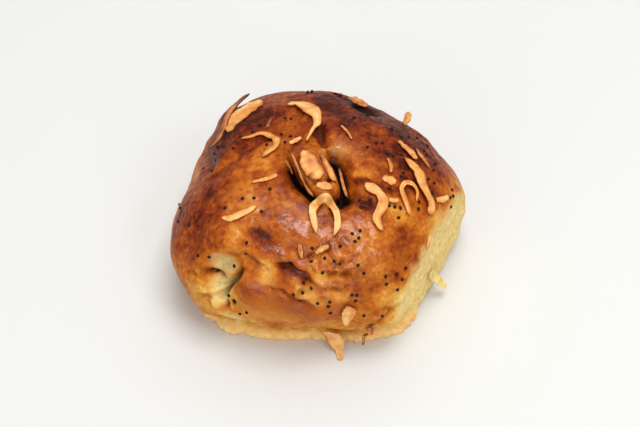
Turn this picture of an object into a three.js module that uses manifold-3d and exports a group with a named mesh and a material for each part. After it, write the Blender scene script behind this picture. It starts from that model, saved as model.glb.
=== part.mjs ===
import * as THREE from "three";
import { mergeVertices } from "three/addons/utils/BufferGeometryUtils.js";
import Module from "manifold-3d";

// A baked onion roll with poppy seeds and toasted onion shreds, in millimetres.
// +X is the viewer's right, +Y points away from the viewer and +Z is up; the roll rests on z = 0.
// Every place on the crust is named by two angles seen from the core: azimuth from +X and elevation.

// Main sizes
const CORE_Z = 16; // height of the core, from which every radius of the crust is measured
const DOME_HEIGHT = 50; // top of the plain dome above the table, before the swellings
const UNDERSIDE_DEPTH = 23; // how fast the side turns in below the core
const UPPER_POWER = 2.3; // 2 is an ellipsoid, more is boxier
const LOWER_POWER = 2.6;
// Radii in plan, every 30 degrees
const PLAN_RADII = [49.2, 46.5, 44.6, 48.6, 49.6, 47.2, 48.8, 52.4, 46.6, 42.6, 46.0, 45.8];
const CENTRE = { x: 0.5, y: -1.95 }; // the core's place in plan
const DOUGH_DETAIL = 16; // divisions of the ball's faces
const DENSER_SIDE = { x: 0, y: -0.3, z: 0.36 }; // the facets get smaller towards this side

// Swellings of the crust: azimuth, elevation, radius, height
const LOBES = [
  [-156, 42, 17, 1.6],
  [-12, 50, 17, 1.6],
  [62, 62, 16, 1.2],
  [128, 48, 14, 0.8],
  [-62, 20, 15, 1.4],
  [-150, 10, 11, 1.2],
  [178, 14, 16, 1.0],
  [100, 14, 16, 1.0],
  [40, 16, 14, 1.0],
  [-92, 35, 4, 0.9],
  [-83, 34, 4, 1.0],
  [-75, 35, 5, 0.8],
  [-90, 23, 3, 1.0],
  [-100, 27, 3, 0.8],
  [-83, 20, 3.5, 0.8],
  [-93, 16, 3, 0.6],
  [-142, 19, 4, 1.0],
  [-139, 9, 4, 1.4],
  [-133, 3, 4, 1.2],
  [-138, 62, 4, 0.8],
  [170, 60, 4, 0.7],
  [-45, 56, 5, 0.9],
  [-30, 40, 5, 0.6],
  [42, 30, 13, -1.5],
  [14, 20, 10, -1.1],
  [130, 26, 12, 1.6],
  [148, 14, 8, 0.8],
  [171, 17, 12, -3.2],
  [-152, -6, 9, -1.4],
  [-104, 25, 5, 2.0],
  [-98, 23, 4, 1.2],
  [150, 44, 5, 1.2],
  [138, 24, 4, 2.0],
];

// Long soft swellings: height, half width, path
const RIDGES = [
  [1.5, 7, [[-152, 26], [-141, 34], [-129, 42], [-104, 46], [-80, 40], [-68, 31], [-58, 20]]],
  [3.2, 8, [[-128, 16], [-107, 17], [-95, 14], [-82, 5]]],
  [1.0, 3, [[-140, 30], [-127, 33], [-117, 33], [-104, 35]]],
  [1.0, 3, [[112, 62], [96, 70], [96, 79]]],
];

// The dough knob that is pulled up through the middle: height, half width, path
const KNOB = [6.4, 5.4, [[-140, 80], [-112, 77], [-97, 72], [-89, 67]]];

// Overlaps of one dough layer on another: height, width of the step, reach, path.
// The high side is on the path's left.
const OVERLAPS = [
  [1.5, 0.6, 6, [[-139, 19], [-137, 23], [-134, 26], [-131, 28], [-126, 30], [-120, 29], [-112, 25]]],
  [1.1, 0.5, 4, [[-88, 12], [-93, 15], [-97, 18], [-99, 20], [-103, 22], [-107, 23], [-111, 22], [-114, 22]]],
];

// Creases and slits: depth, half width, path
const CREASES = [
  [2.2, 0.8, [[-113, 29], [-108, 30], [-105, 30], [-101, 29], [-97, 28], [-95, 25], [-93, 22]]],
  [1.6, 0.8, [[-90, 12], [-93, 14], [-96, 17], [-100, 19], [-103, 21], [-107, 22], [-111, 21], [-115, 22]]],
  [0.9, 0.6, [[-128, 30], [-123, 30], [-119, 29], [-115, 28], [-113, 25]]],
  [5.6, 1.5, [[-164, 74], [-155, 71], [-140, 69], [-128, 67], [-113, 65], [-99, 61], [-88, 57]]],
  [6.4, 1.9, [[40, 87], [-22, 84], [-34, 79], [-46, 73], [-56, 67], [-63, 61], [-66, 56]]],
  [3.6, 1.7, [[-86, 58], [-78, 58], [-70, 57], [-62, 57]]],
  [1.8, 1.8, [[-66, 57], [-58, 55], [-50, 50]]],
  [2.6, 1.7, [[91, 67], [93, 73], [88, 80], [30, 87]]],
  [4.6, 1.0, [[-125, 26], [-126, 21], [-128, 16], [-130, 11], [-130, 7], [-128, 3], [-126, -1], [-122, -4]]],
  [2.4, 1.1, [[-140, 14], [-137, 17], [-134, 17], [-133, 14]]],
  [1.4, 1.0, [[-146, 10], [-143, 13], [-140, 12]]],
  [1.6, 1.2, [[-141, 4], [-136, 6], [-133, 1], [-134, -4]]],
  [1.7, 1.0, [[-55, 9], [-59, 7], [-63, 5], [-66, 2], [-69, -1], [-71, -6]]],
  [1.2, 1.0, [[-66, 10], [-62, 7], [-57, 3]]],
  [1.5, 0.9, [[-87, 22], [-83, 21], [-80, 21], [-78, 24]]],
  [1.2, 0.8, [[-95, 33], [-95, 36], [-90, 37], [-85, 39]]],
  [1.0, 0.8, [[-82, 33], [-77, 33], [-73, 35]]],
  [1.0, 0.8, [[-86, 28], [-80, 28], [-76, 26]]],
  [0.8, 0.5, [[-104, 69], [-90, 67], [-75, 67]]],
  [0.8, 0.5, [[-113, 82], [-94, 78], [-82, 71], [-76, 67]]],
  [1.3, 0.8, [[-95, 25], [-91, 23], [-86, 22], [-81, 21]]],
  [1.4, 2.5, [[136, 68], [160, 58], [176, 48], [-170, 34]]],
  [1.8, 2.2, [[38, 34], [24, 20], [17, 4]]],
  [1.8, 2.4, [[66, 42], [88, 30], [112, 20], [132, 6]]],
  [1.8, 2.2, [[150, 10], [160, 22], [168, 30], [-176, 36]]],
];

const NARROWEST_CREASE = 1.7; // a narrower one would fall between the facets

// Round hollows: azimuth, elevation, radius, depth
const HOLLOWS = [
  [-100, 73, 10, 4.6],
  [65, 42, 2.8, 4.5],
  [58, 43, 3.0, 4.5],
  [-71, 58, 2.4, 3.2],
  [-132, 22, 4, 2.0],
  [-131, 15, 3.2, 1.8],
  [-130, 8, 2.2, 1.6],
];

// The side that was torn from the next roll: azimuth it faces, distance from the core
const TORN_SIDE = { azimuth: -28, distance: 40.8, rounding: 0.8 };
const TORN_BUMPS = [{ size: 5, height: 0.9, shift: 0 }, { size: 2.3, height: 0.4, shift: 9 }];

// The ragged lip of crumb along the base: azimuth, distance of its edge from the middle
const LIP = [
  [-160, 38.0], [-152, 46.0], [-144, 47.8], [-141, 47.0], [-138, 46.3], [-135, 47.3],
  [-131, 46.6], [-128, 44.8], [-126, 43.2], [-122, 43.2], [-118, 41.5], [-114, 40.6],
  [-108, 39.5], [-104, 38.4], [-98, 37.6], [-90, 37.4], [-84, 38.4], [-76, 39.6],
  [-70, 40.4], [-62, 41.8], [-54, 43.4], [-48, 43.6], [-42, 42.0], [-36, 40.0],
  [-28, 36.0],
];
const LIP_TOP = 2.8;
const LIP_SOFTNESS = { top: 1.2, root: 1.5 }; // how gently its top and its root run into the crust
const LIP_RAGGED = { height: 0.35, degrees: 3.2 }; // unevenness along its edge
const LIP_UNEVEN = { height: 0.4, size: 3.3, shift: 21 }; // unevenness of its top
const LEAST_LEVEL = 0.3; // keeps the lip's reach finite straight above and below the core

// The hollow between the front and its lip
const HEM = { depth: 4.8, height: 6.2, halfHeight: 4.8, from: -141, to: -38, fade: 12 };

// Places where the crust is wrinkled: azimuth, elevation, radius, height
const WRINKLES = [
  [-88, 27, 7, 1.5],
  [-98, 24, 5, 1.0],
  [-82, 34, 6, 1.0],
  [-104, 20, 4, 0.6],
  [-134, 6, 7, 0.8],
  [-127, 0, 5, 0.6],
  [-72, 0, 8, 0.4],
  [-105, 75, 6, 0.4],
];

// The folds of a wrinkled place: their sizes, how sharp they are and how deep the deepest is
const FOLDS = { x: 6, y: 5, z: 5, shift: 2, sharpness: 2.2, deepest: -0.6 };

// Uneven crust: size of the bumps, their height
const BUMPS = [[19, 0.9], [8.5, 0.45], [4, 0.16]];

// Onion shreds: azimuth and elevation of each point, its lift above the crust, the widths, the thickness
// and how far the strip leans over, in radians
const SHREDS = {
  onion_curl_back: {
    path: [[116, 52], [109, 53], [103, 57], [100, 64], [96, 69], [103, 74], [122, 78], [141, 80]],
    lift: [0.3, 0.5, 0.7, 0.8, 0.7, 0.4, 0.2, 0.1],
    width: [2.6, 4.8, 5.4, 4.6, 2.8, 1.4, 1.0, 0.8],
    thick: 1.0,
  },
  onion_wide_left: {
    path: [[126, 42], [133, 41], [140, 40], [147, 40], [154, 39]],
    lift: [0.4, 0.7, 0.8, 0.6, 0.3],
    width: [2.6, 5.6, 6.4, 5.8, 3.0],
    lean: -0.45,
  },
  onion_long_left: {
    path: [[126, 33], [131, 31], [136, 30], [142, 31], [150, 33], [157, 33], [160, 28]],
    lift: [2.2, 1.2, 0.4, 0.2, 0.1, 0.2, 0.3],
    width: [1.8, 2.6, 3.0, 3.2, 3.0, 2.4, 1.4],
    thick: 1.2,
    lean: -0.3,
  },
  onion_hook: {
    path: [[161, 48], [159, 52], [154, 56], [153, 60], [160, 66], [171, 67], [180, 64], [-173, 61]],
    lift: [0, 0.1, 0.3, 0.4, 0.4, 0.3, 0.1, 0],
    width: [0.9, 1.3, 1.8, 2.4, 2.6, 2.5, 2.3, 1.8],
  },
  onion_hook_twig: {
    path: [[135, 55], [141, 56], [146, 57]],
    width: [0.9, 1.4, 1.0],
    thick: 0.7,
  },
  onion_chip_centre: {
    path: [[163, 73], [152, 75], [138, 76]],
    width: [1.4, 2.0, 1.1],
  },
  onion_thin_left: {
    path: [[-152, 53], [-149, 57], [-147, 60], [-146, 64]],
    width: [0.7, 1.3, 1.8, 1.2],
    thick: 0.7,
  },
  onion_taper_front: {
    path: [[-144, 37], [-140, 39], [-138, 42], [-136, 45], [-135, 48]],
    lift: [0.1, 0.2, 0.2, 0.1, 0],
    width: [1.0, 2.2, 2.3, 2.0, 1.2],
  },
  onion_arch: {
    path: [[-93, 45], [-95, 50], [-97, 55], [-94, 59], [-86, 60], [-80, 57], [-79, 52], [-80, 48], [-83, 44]],
    lift: [0.7, 1.0, 1.4, 2.1, 2.3, 2.0, 1.4, 1.0, 0.7],
    width: [1.0, 2.1, 2.3, 3.0, 3.3, 2.6, 2.2, 2.1, 1.1],
  },
  onion_fork: {
    path: [[-42, 61], [-43, 58], [-42, 54], [-44, 50], [-49, 48], [-54, 46], [-55, 43], [-55, 40]],
    lift: [0.1, 0.4, 0.6, 0.8, 0.9, 0.7, 0.4, 0],
    width: [2.0, 3.4, 2.6, 3.2, 3.2, 2.8, 2.4, 1.1],
    thick: 1.1,
  },
  onion_fork_arm: {
    path: [[-39, 49], [-37, 47], [-34, 46]],
    lift: [0.2, 0.3, 0.1],
    width: [1.2, 1.9, 1.1],
  },
  onion_pale_patch: {
    path: [[-27, 57], [-25, 53], [-24, 51]],
    width: [1.8, 3.4, 1.8],
    thick: 0.6,
  },
  onion_small_arch: {
    path: [[-27, 40], [-22, 42], [-20, 45], [-22, 48], [-27, 48], [-31, 45], [-34, 41], [-36, 38]],
    lift: [0, 0.4, 0.7, 0.8, 0.6, 0.4, 0.2, 0],
    width: [0.9, 1.3, 1.7, 1.8, 1.8, 2.0, 1.8, 1.0],
  },
  onion_long_right: {
    path: [[-2, 51], [-7, 48], [-11, 45], [-16, 42], [-20, 38], [-23, 34], [-27, 32]],
    lift: [0.3, 0.6, 0.8, 0.8, 0.8, 0.7, 0.4],
    width: [1.4, 3.4, 4.4, 3.8, 3.6, 3.6, 2.6],
    thick: 1.1,
  },
  onion_inner_right: {
    path: [[9, 45], [4, 44], [0, 42], [-4, 40]],
    lift: [0.2, 0.3, 0.3, 0.2],
    width: [0.9, 1.6, 1.6, 0.9],
  },
  onion_top_right: {
    path: [[16, 51], [10, 50], [4, 48], [-1, 46]],
    lift: [0.2, 0.4, 0.4, 0.2],
    width: [1.3, 2.4, 2.6, 1.6],
  },
  onion_flake_right: {
    path: [[-18, 33], [-15, 30], [-11, 28]],
    lift: [0.1, 0.3, 0.1],
    width: [1.2, 2.2, 1.2],
  },
  onion_burnt_back: {
    path: [[75, 39], [70, 39], [66, 38], [62, 37]],
    lift: [0.6, 1.3, 1.4, 0.8],
    width: [1.6, 3.2, 3.2, 1.4],
    lean: 0.5,
  },
  onion_burnt_chip: {
    path: [[84, 32], [81, 33], [79, 34]],
    lift: [0.6, 1.1, 0.8],
    width: [1.4, 2.6, 1.4],
  },
  onion_stick_back: {
    path: [[36, 38], [39, 34], [42, 31], [44, 28]],
    lift: [0.1, 0.9, 2.0, 3.2],
    width: [1.4, 2.4, 2.6, 2.0],
    thick: 1.2,
  },
  onion_knob_slice: {
    path: [[-146, 80], [-121, 78], [-103, 74], [-92, 70]],
    lift: [0.1, 0.3, 0.3, 0.2],
    width: [2.6, 5.6, 6.0, 3.4],
    thick: 0.8,
  },
  onion_knob_right: {
    path: [[-95, 85], [-78, 80], [-74, 74], [-73, 68]],
    lift: [0.1, 0.3, 0.3, 0.2],
    width: [1.4, 2.3, 2.5, 1.8],
    thick: 0.8,
  },
  onion_knob_left: {
    path: [[-153, 75], [-133, 73], [-117, 69], [-106, 65], [-98, 62]],
    lift: [1.6, 1.8, 2.1, 2.1, 1.8],
    width: [0.8, 1.1, 1.3, 1.1, 0.8],
    thick: 0.7,
  },
  onion_knob_tip: {
    path: [[-96, 67], [-87, 66], [-79, 65]],
    lift: [0.2, 0.4, 0.2],
    width: [1.6, 2.8, 1.6],
    thick: 0.7,
  },
  onion_slit_fibre: {
    path: [[-31, 78], [-44, 74], [-56, 67], [-61, 60]],
    lift: [2.4, 2.8, 2.8, 2.0],
    width: [0.7, 1.0, 1.0, 0.8],
    thick: 0.7,
  },
  onion_slit_left: {
    path: [[-160, 71], [-153, 71], [-142, 70]],
    lift: [2.4, 2.8, 2.4],
    width: [0.7, 1.0, 0.7],
    thick: 0.7,
  },
  onion_fibre_back: {
    path: [[61, 70], [44, 72], [26, 73]],
    width: [0.8, 1.1, 0.8],
    thick: 0.6,
  },
  onion_streak_right: {
    path: [[-5, 58], [-12, 56], [-19, 55]],
    width: [1.0, 1.6, 1.0],
    thick: 0.6,
  },
  onion_torn_edge: {
    path: [[-33, 26], [-35, 25], [-38, 23]],
    lift: [0.2, 0.4, 0.2],
    width: [1.2, 2.2, 1.2],
    thick: 0.7,
  },
  onion_mid_flake: {
    path: [[-93, 37], [-90, 39], [-86, 40]],
    lift: [0.4, 0.6, 0.4],
    width: [1.0, 1.9, 1.1],
    thick: 0.7,
  },
  onion_bit_front: {
    path: [[-102, 40], [-101, 37], [-100, 34]],
    lift: [0.1, 0.2, 0.1],
    width: [1.1, 1.8, 1.0],
    thick: 0.6,
  },
  onion_low_leaf: {
    path: [[-80, 14], [-79, 10], [-80, 6], [-80, 2]],
    lift: [0.3, 0.7, 0.9, 0.7],
    width: [1.6, 4.4, 3.2, 1.0],
  },
  onion_front_flake: {
    path: [[-86, -6], [-85, -12], [-83, -17], [-82, -20]],
    lift: [0.6, 3.4, 5.8, 7.0],
    width: [5.6, 7.2, 5.0, 1.4],
  },
  onion_low_twig: {
    path: [[-70, 3], [-70, -4], [-71, -11], [-72, -17]],
    lift: [0.4, 0.7, 3.0, 5.4],
    width: [1.2, 1.8, 1.6, 1.0],
  },
  crumb_strand: {
    path: [[-33, 2], [-29, -5], [-26, -11], [-25, -14]],
    lift: [0.2, 1.0, 2.6, 4.6],
    width: [2.4, 3.4, 3.0, 2.2],
  },
};
const SHRED_THICKNESS = 0.9;
const SHRED_GAP = 0.42; // clear space between a shred and the crust
const SHRED_SECTIONS = 12;
const SHRED_STEPS = 8; // points between two places of a shred
const SHRED_TOP = 0.75; // width of its upper face as a share of the lower one
const SHRED_FOLLOW = 0.7; // share of a section's move that its neighbours make with it
const FLOOR_GAP = 0.2; // least height of a shred above the table

// Poppy seeds: azimuth and elevation of a cluster's middle, its spread in degrees, number of seeds
const SEED_CLUSTERS = [
  [98, 42, 5, 2],
  [145, 56, 8, 7],
  [150, 66, 5, 3],
  [162, 34, 6, 5],
  [-138, 48, 8, 5],
  [-126, 32, 3, 2],
  [-134, 15, 10, 5],
  [-98, 25, 6, 6],
  [-91, 15, 4, 4],
  [-123, 2, 4, 3],
  [-87, 38, 5, 6],
  [-72, 42, 7, 4],
  [-76, 22, 8, 5],
  [-56, 20, 9, 6],
  [-38, 48, 8, 9],
  [-22, 44, 7, 7],
  [2, 47, 8, 8],
  [-10, 27, 7, 5],
  [15, 34, 10, 4],
  [-34, 83, 5, 2],
  [30, 58, 16, 5],
  [-154, 25, 8, 2],
  [-70, 5, 3, 2],
  [60, 30, 24, 6],
  [110, 22, 24, 5],
  [175, 30, 16, 4],
];
const SEED_RADIUS = 0.52;
const SEED_LENGTH = 1.2; // as shares of its width
const SEED_HEIGHT = 0.95;
const SEED_RISE = 0.33; // height of its middle above the crust, as a share of its radius
const SEED_SPACING = 1.5;
const SEED_TO_SHRED = 1.9; // least distance between a seed and a shred
const SEED_TRIES = 60; // most places that are tried in a cluster
const CLUSTER_REACH = 1.6; // farthest seed as a multiple of the spread
const SEED_START = 20417;

const PATH_STEPS = 4; // points between two places of a crease or a ridge
const FADE_SHARE = 0.18; // share of a crease or a ridge over which each end fades out

const BASE_COLOURS = { crust: 0xa5642a, shred: 0xdb9a55 };

const core = new THREE.Vector3(CENTRE.x, CENTRE.y, CORE_Z);

function direction(azimuth, elevation) {
  const a = THREE.MathUtils.degToRad(azimuth);
  const e = THREE.MathUtils.degToRad(elevation);
  return new THREE.Vector3(Math.cos(e) * Math.cos(a), Math.cos(e) * Math.sin(a), Math.sin(e));
}

function blend(p0, p1, p2, p3, u) {
  const cubic = (3 * p1 - p0 - 3 * p2 + p3) * u * u * u;
  const square = (2 * p0 - 5 * p1 + 4 * p2 - p3) * u * u;
  return 0.5 * (2 * p1 + (p2 - p0) * u + square + cubic);
}

function blendVectors(a, b, c, d, u) {
  const at = (key) => blend(a[key], b[key], c[key], d[key], u);
  return new THREE.Vector3(at("x"), at("y"), at("z"));
}

function clamp(value, low, high) {
  return Math.min(Math.max(value, low), high);
}

function easeInOut(u) {
  return u * u * (3 - 2 * u);
}

// The value at share u of an evenly spaced list
function listValue(list, u) {
  const place = u * (list.length - 1);
  const i = Math.min(Math.floor(place), list.length - 2);
  return i < 0 ? list[0] : list[i] + (list[i + 1] - list[i]) * (place - i);
}

function planRadius(angle) {
  const n = PLAN_RADII.length;
  const place = THREE.MathUtils.euclideanModulo((angle / (2 * Math.PI)) * n, n);
  const i = Math.floor(place);
  const r = (k) => PLAN_RADII[(i + k + n) % n];
  return blend(r(-1), r(0), r(1), r(2), place - i);
}

// The plain dome
function domeRadius(dir) {
  const level = Math.hypot(dir.x, dir.y) / planRadius(Math.atan2(dir.y, dir.x));
  const upper = dir.z >= 0;
  const power = upper ? UPPER_POWER : LOWER_POWER;
  const reach = upper ? DOME_HEIGHT - CORE_Z : UNDERSIDE_DEPTH;
  return (level ** power + (Math.abs(dir.z) / reach) ** power) ** (-1 / power);
}

function onDome(dir) {
  return dir.clone().multiplyScalar(domeRadius(dir));
}

// Directions along a smooth curve through the given places
function smoothDirections(places, steps) {
  const q = places.map(([azimuth, elevation]) => direction(azimuth, elevation));
  const last = q.length - 1;
  const before = q[0].clone().multiplyScalar(2).sub(q[1]);
  const after = q[last].clone().multiplyScalar(2).sub(q[last - 1]);
  const all = [before, ...q, after];
  const out = [];
  for (let i = 1; i <= last; i++) {
    for (let k = 0; k < steps; k++) {
      out.push(blendVectors(all[i - 1], all[i], all[i + 1], all[i + 2], k / steps).normalize());
    }
  }
  out.push(q[last]);
  return out;
}

function domePath(places) {
  return smoothDirections(places, PATH_STEPS).map(onDome);
}

// Distance from a point to a path, the share of the path's length there, and the side of the path
function along(path, p) {
  let distance = Infinity;
  let reached = 0;
  let side = 0;
  let total = 0;
  for (let i = 0; i + 1 < path.length; i++) {
    const step = path[i + 1].clone().sub(path[i]);
    const length = step.length();
    const off = p.clone().sub(path[i]);
    const t = clamp(off.dot(step) / (length * length), 0, 1);
    off.addScaledVector(step, -t);
    const d = off.length();
    if (d < distance) {
      distance = d;
      reached = total + t * length;
      side = Math.sign(step.cross(off).dot(p));
    }
    total += length;
  }
  return { distance, share: reached / total, side };
}

// Fades a crease or a ridge out at both of its ends
function fade(share) {
  return easeInOut(clamp(Math.min(share, 1 - share) / FADE_SHARE, 0, 1));
}

function hash(i, j, k) {
  const q = Math.sin(i * 127.1 + j * 311.7 + k * 74.7) * 43758.5453;
  return 2 * (q - Math.floor(q)) - 1;
}

// Smooth unevenness between -1 and 1
function noise(x, y, z) {
  const [i, j, k] = [Math.floor(x), Math.floor(y), Math.floor(z)];
  const [u, v, w] = [easeInOut(x - i), easeInOut(y - j), easeInOut(z - k)];
  let sum = 0;
  for (const a of [0, 1]) {
    for (const b of [0, 1]) {
      for (const c of [0, 1]) {
        const weight = (a ? u : 1 - u) * (b ? v : 1 - v) * (c ? w : 1 - w);
        sum += weight * hash(i + a, j + b, k + c);
      }
    }
  }
  return sum;
}

const spots = (list) => list.map(([a, e, radius, size]) => ({ at: onDome(direction(a, e)), radius, size }));
const lines = (list) => list.map(([size, width, places]) => ({ size, width, path: domePath(places) }));
const lobes = spots(LOBES);
const hollows = spots(HOLLOWS);
const ridges = lines(RIDGES);
const creases = lines(CREASES).map((line) => ({ ...line, width: Math.max(line.width, NARROWEST_CREASE) }));
const wrinkles = spots(WRINKLES);
const [knob] = lines([KNOB]);
const overlaps = OVERLAPS.map(([size, width, reach, places]) => ({
  size,
  width,
  reach,
  path: domePath(places),
}));
const tornNormal = direction(TORN_SIDE.azimuth, 0);

function lipDistance(azimuth) {
  for (let i = 0; i + 1 < LIP.length; i++) {
    const [from, a] = LIP[i];
    const [to, b] = LIP[i + 1];
    if (azimuth >= from && azimuth <= to) return a + ((b - a) * (azimuth - from)) / (to - from);
  }
  return 0;
}

// Distance from the core to the crust in a direction
function crustRadius(dir) {
  let r = domeRadius(dir);
  const p = dir.clone().multiplyScalar(r);
  for (const spot of lobes) r += spot.size * Math.exp(-p.distanceToSquared(spot.at) / spot.radius ** 2);
  for (const line of ridges) {
    const { distance, share } = along(line.path, p);
    r += line.size * Math.exp(-((distance / line.width) ** 2)) * fade(share);
  }
  r += knob.size * Math.exp(-((along(knob.path, p).distance / knob.width) ** 3));
  for (const line of overlaps) {
    const { distance, share, side } = along(line.path, p);
    const step = 0.5 + 0.5 * Math.tanh((side * distance) / line.width);
    r += line.size * step * Math.exp(-((distance / line.reach) ** 2)) * fade(share);
  }
  for (const line of creases) {
    const { distance, share } = along(line.path, p);
    r -= line.size * Math.exp(-((distance / line.width) ** 2)) * fade(share);
  }
  for (const spot of hollows) r -= spot.size * Math.exp(-p.distanceToSquared(spot.at) / spot.radius ** 2);
  const fold = foldHeight(p);
  for (const spot of wrinkles) {
    r += spot.size * fold * Math.exp(-p.distanceToSquared(spot.at) / spot.radius ** 2);
  }
  for (const [size, height] of BUMPS) r += bump(p, { size, height, shift: size });
  r = cutTornSide(dir, p, r);
  const azimuth = THREE.MathUtils.radToDeg(Math.atan2(dir.y, dir.x));
  r = hollowHem(dir, azimuth, r);
  r = addLip(dir, azimuth, p, r);
  return dir.z < 0 ? Math.min(r, CORE_Z / -dir.z) : r;
}

function foldHeight(p) {
  const { x, y, z, shift, sharpness, deepest } = FOLDS;
  const fold = Math.abs(noise(p.x / x + shift, p.y / y + shift, p.z / z + shift));
  return Math.max(1 - sharpness * fold, deepest);
}

function bump(p, { size, height, shift }) {
  return height * noise(p.x / size + shift, p.y / size + shift, p.z / size + shift);
}

function cutTornSide(dir, p, r) {
  const rough = TORN_BUMPS.reduce((sum, item) => sum + bump(p, item), 0);
  const wall = (TORN_SIDE.distance + rough) / Math.max(dir.dot(tornNormal), 0.05);
  const rounding = TORN_SIDE.rounding;
  const mix = clamp(0.5 + (0.5 * (wall - r)) / rounding, 0, 1);
  return wall * (1 - mix) + r * mix - rounding * mix * (1 - mix);
}

function hollowHem(dir, azimuth, r) {
  const height = CORE_Z + dir.z * r;
  const ends = easeInOut(clamp(Math.min(azimuth - HEM.from, HEM.to - azimuth) / HEM.fade, 0, 1));
  return r - HEM.depth * ends * Math.exp(-(((height - HEM.height) / HEM.halfHeight) ** 2));
}

function addLip(dir, azimuth, p, r) {
  const level = Math.max(Math.hypot(dir.x, dir.y), LEAST_LEVEL);
  const ragged = LIP_RAGGED.height * noise(azimuth / LIP_RAGGED.degrees, 0, 0);
  const edge = (lipDistance(azimuth) + ragged) / level;
  const height = CORE_Z + dir.z * edge + bump(p, LIP_UNEVEN);
  const upper = clamp((LIP_TOP - height) / LIP_SOFTNESS.top, 0, 1);
  const outer = clamp((edge - r) / LIP_SOFTNESS.root, 0, 1);
  return r + upper * outer * (edge - r);
}

function crustPoint(dir, lift = 0) {
  return dir
    .clone()
    .multiplyScalar(crustRadius(dir) + lift)
    .add(core);
}

function crustNormal(dir) {
  const side = new THREE.Vector3(-dir.y, dir.x, 0).normalize();
  const up = dir.clone().cross(side);
  const reach = 0.04;
  const at = (axis, sign) => crustPoint(dir.clone().addScaledVector(axis, sign * reach).normalize());
  const across = at(side, 1).sub(at(side, -1));
  const along = at(up, 1).sub(at(up, -1));
  const normal = across.cross(along).normalize();
  return normal.dot(dir) < 0 ? normal.negate() : normal;
}

function doughGeometry() {
  const ball = new THREE.IcosahedronGeometry(1, DOUGH_DETAIL);
  ball.deleteAttribute("normal");
  ball.deleteAttribute("uv");
  const geometry = mergeVertices(ball, 1e-5);
  const position = geometry.getAttribute("position");
  const shift = new THREE.Vector3(DENSER_SIDE.x, DENSER_SIDE.y, DENSER_SIDE.z);
  for (let i = 0; i < position.count; i++) {
    const dir = new THREE.Vector3().fromBufferAttribute(position, i).add(shift).normalize();
    const p = crustPoint(dir);
    position.setXYZ(i, p.x, p.y, Math.max(p.z, 0));
  }
  return geometry;
}

// How far a point must move out from the core to keep the gap from the crust
function shortfall(point) {
  const ray = point.clone().sub(core);
  const distance = ray.length();
  return crustRadius(ray.normalize()) + SHRED_GAP - distance;
}

// A flat strip laid over the crust, closed at both ends
function shredGeometry({ path, lift = [0, 0], width, thick = SHRED_THICKNESS, lean = 0 }) {
  const fine = smoothDirections(path, SHRED_STEPS);
  const sections = [];
  for (let i = 0; i < SHRED_SECTIONS; i++) {
    const u = i / (SHRED_SECTIONS - 1);
    const dir = fine[Math.round(u * (fine.length - 1))];
    const rise = listValue(lift, u) + SHRED_GAP + thick / 2;
    sections.push({ dir, centre: crustPoint(dir, rise), half: listValue(width, u) / 2 });
  }
  const corners = sections.map((section, i) => {
    const before = sections[Math.max(i - 1, 0)].centre;
    const after = sections[Math.min(i + 1, sections.length - 1)].centre;
    const tangent = after.clone().sub(before).normalize();
    const normal = crustNormal(section.dir).add(section.dir).normalize();
    const across = normal.cross(tangent).normalize().applyAxisAngle(tangent, lean);
    const up = tangent.clone().cross(across);
    const corner = (s, h) =>
      section.centre
        .clone()
        .addScaledVector(across, s * section.half)
        .addScaledVector(up, (h * thick) / 2);
    return [corner(-1, -1), corner(1, -1), corner(SHRED_TOP, 1), corner(-SHRED_TOP, 1)];
  });
  const needed = corners.map(([a, b]) => {
    const middle = a.clone().add(b).multiplyScalar(0.5);
    return Math.max(0, shortfall(a), shortfall(b), shortfall(middle));
  });
  corners.forEach((ring, i) => {
    const near = [needed[i - 1] ?? 0, needed[i], needed[i + 1] ?? 0];
    const move = Math.max(near[1], SHRED_FOLLOW * Math.max(near[0], near[2]));
    for (const corner of ring) {
      corner.addScaledVector(sections[i].dir, move);
      corner.z = Math.max(corner.z, FLOOR_GAP);
    }
  });
  return ringGeometry(corners);
}

// A closed surface through rings of four corners
function ringGeometry(rings) {
  const n = rings[0].length;
  const index = [];
  for (let i = 0; i + 1 < rings.length; i++) {
    for (let k = 0; k < n; k++) {
      const a = i * n + k;
      const b = i * n + ((k + 1) % n);
      index.push(a, b, b + n, a, b + n, a + n);
    }
  }
  const last = (rings.length - 1) * n;
  index.push(0, 3, 2, 0, 2, 1, last, last + 1, last + 2, last, last + 2, last + 3);
  const geometry = new THREE.BufferGeometry();
  const numbers = rings.flat().flatMap((p) => [p.x, p.y, p.z]);
  geometry.setAttribute("position", new THREE.Float32BufferAttribute(numbers, 3));
  geometry.setIndex(index);
  return geometry;
}

let randomState = SEED_START;
function random() {
  randomState = (randomState * 16807) % 2147483647;
  return randomState / 2147483647;
}

// Directions of the seeds, kept apart from each other and from the shreds
function seedDirections(shredPoints) {
  const kept = [];
  for (const [azimuth, elevation, spread, count] of SEED_CLUSTERS) {
    const middle = direction(azimuth, elevation);
    const side = new THREE.Vector3(-middle.y, middle.x, 0).normalize();
    const up = middle.clone().cross(side);
    const reach = THREE.MathUtils.degToRad(spread) * CLUSTER_REACH;
    for (let placed = 0, tries = 0; placed < count && tries < SEED_TRIES; tries++) {
      const a = (random() + random() - 1) * reach;
      const b = (random() + random() - 1) * reach;
      const dir = middle.clone().addScaledVector(side, a).addScaledVector(up, b).normalize();
      const p = crustPoint(dir);
      const near = (q, distance) => q.distanceToSquared(p) < distance ** 2;
      if (kept.some((other) => near(other.p, SEED_SPACING))) continue;
      if (shredPoints.some((q) => near(q, SEED_TO_SHRED))) continue;
      kept.push({ dir, p, turn: random() * Math.PI });
      placed++;
    }
  }
  return kept;
}

const wasm = await Module();
wasm.setup();

function solidOf(geometry) {
  return new wasm.Manifold(
    new wasm.Mesh({
      numProp: 3,
      vertProperties: new Float32Array(geometry.getAttribute("position").array),
      triVerts: new Uint32Array(geometry.index.array),
    }),
  );
}

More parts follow.
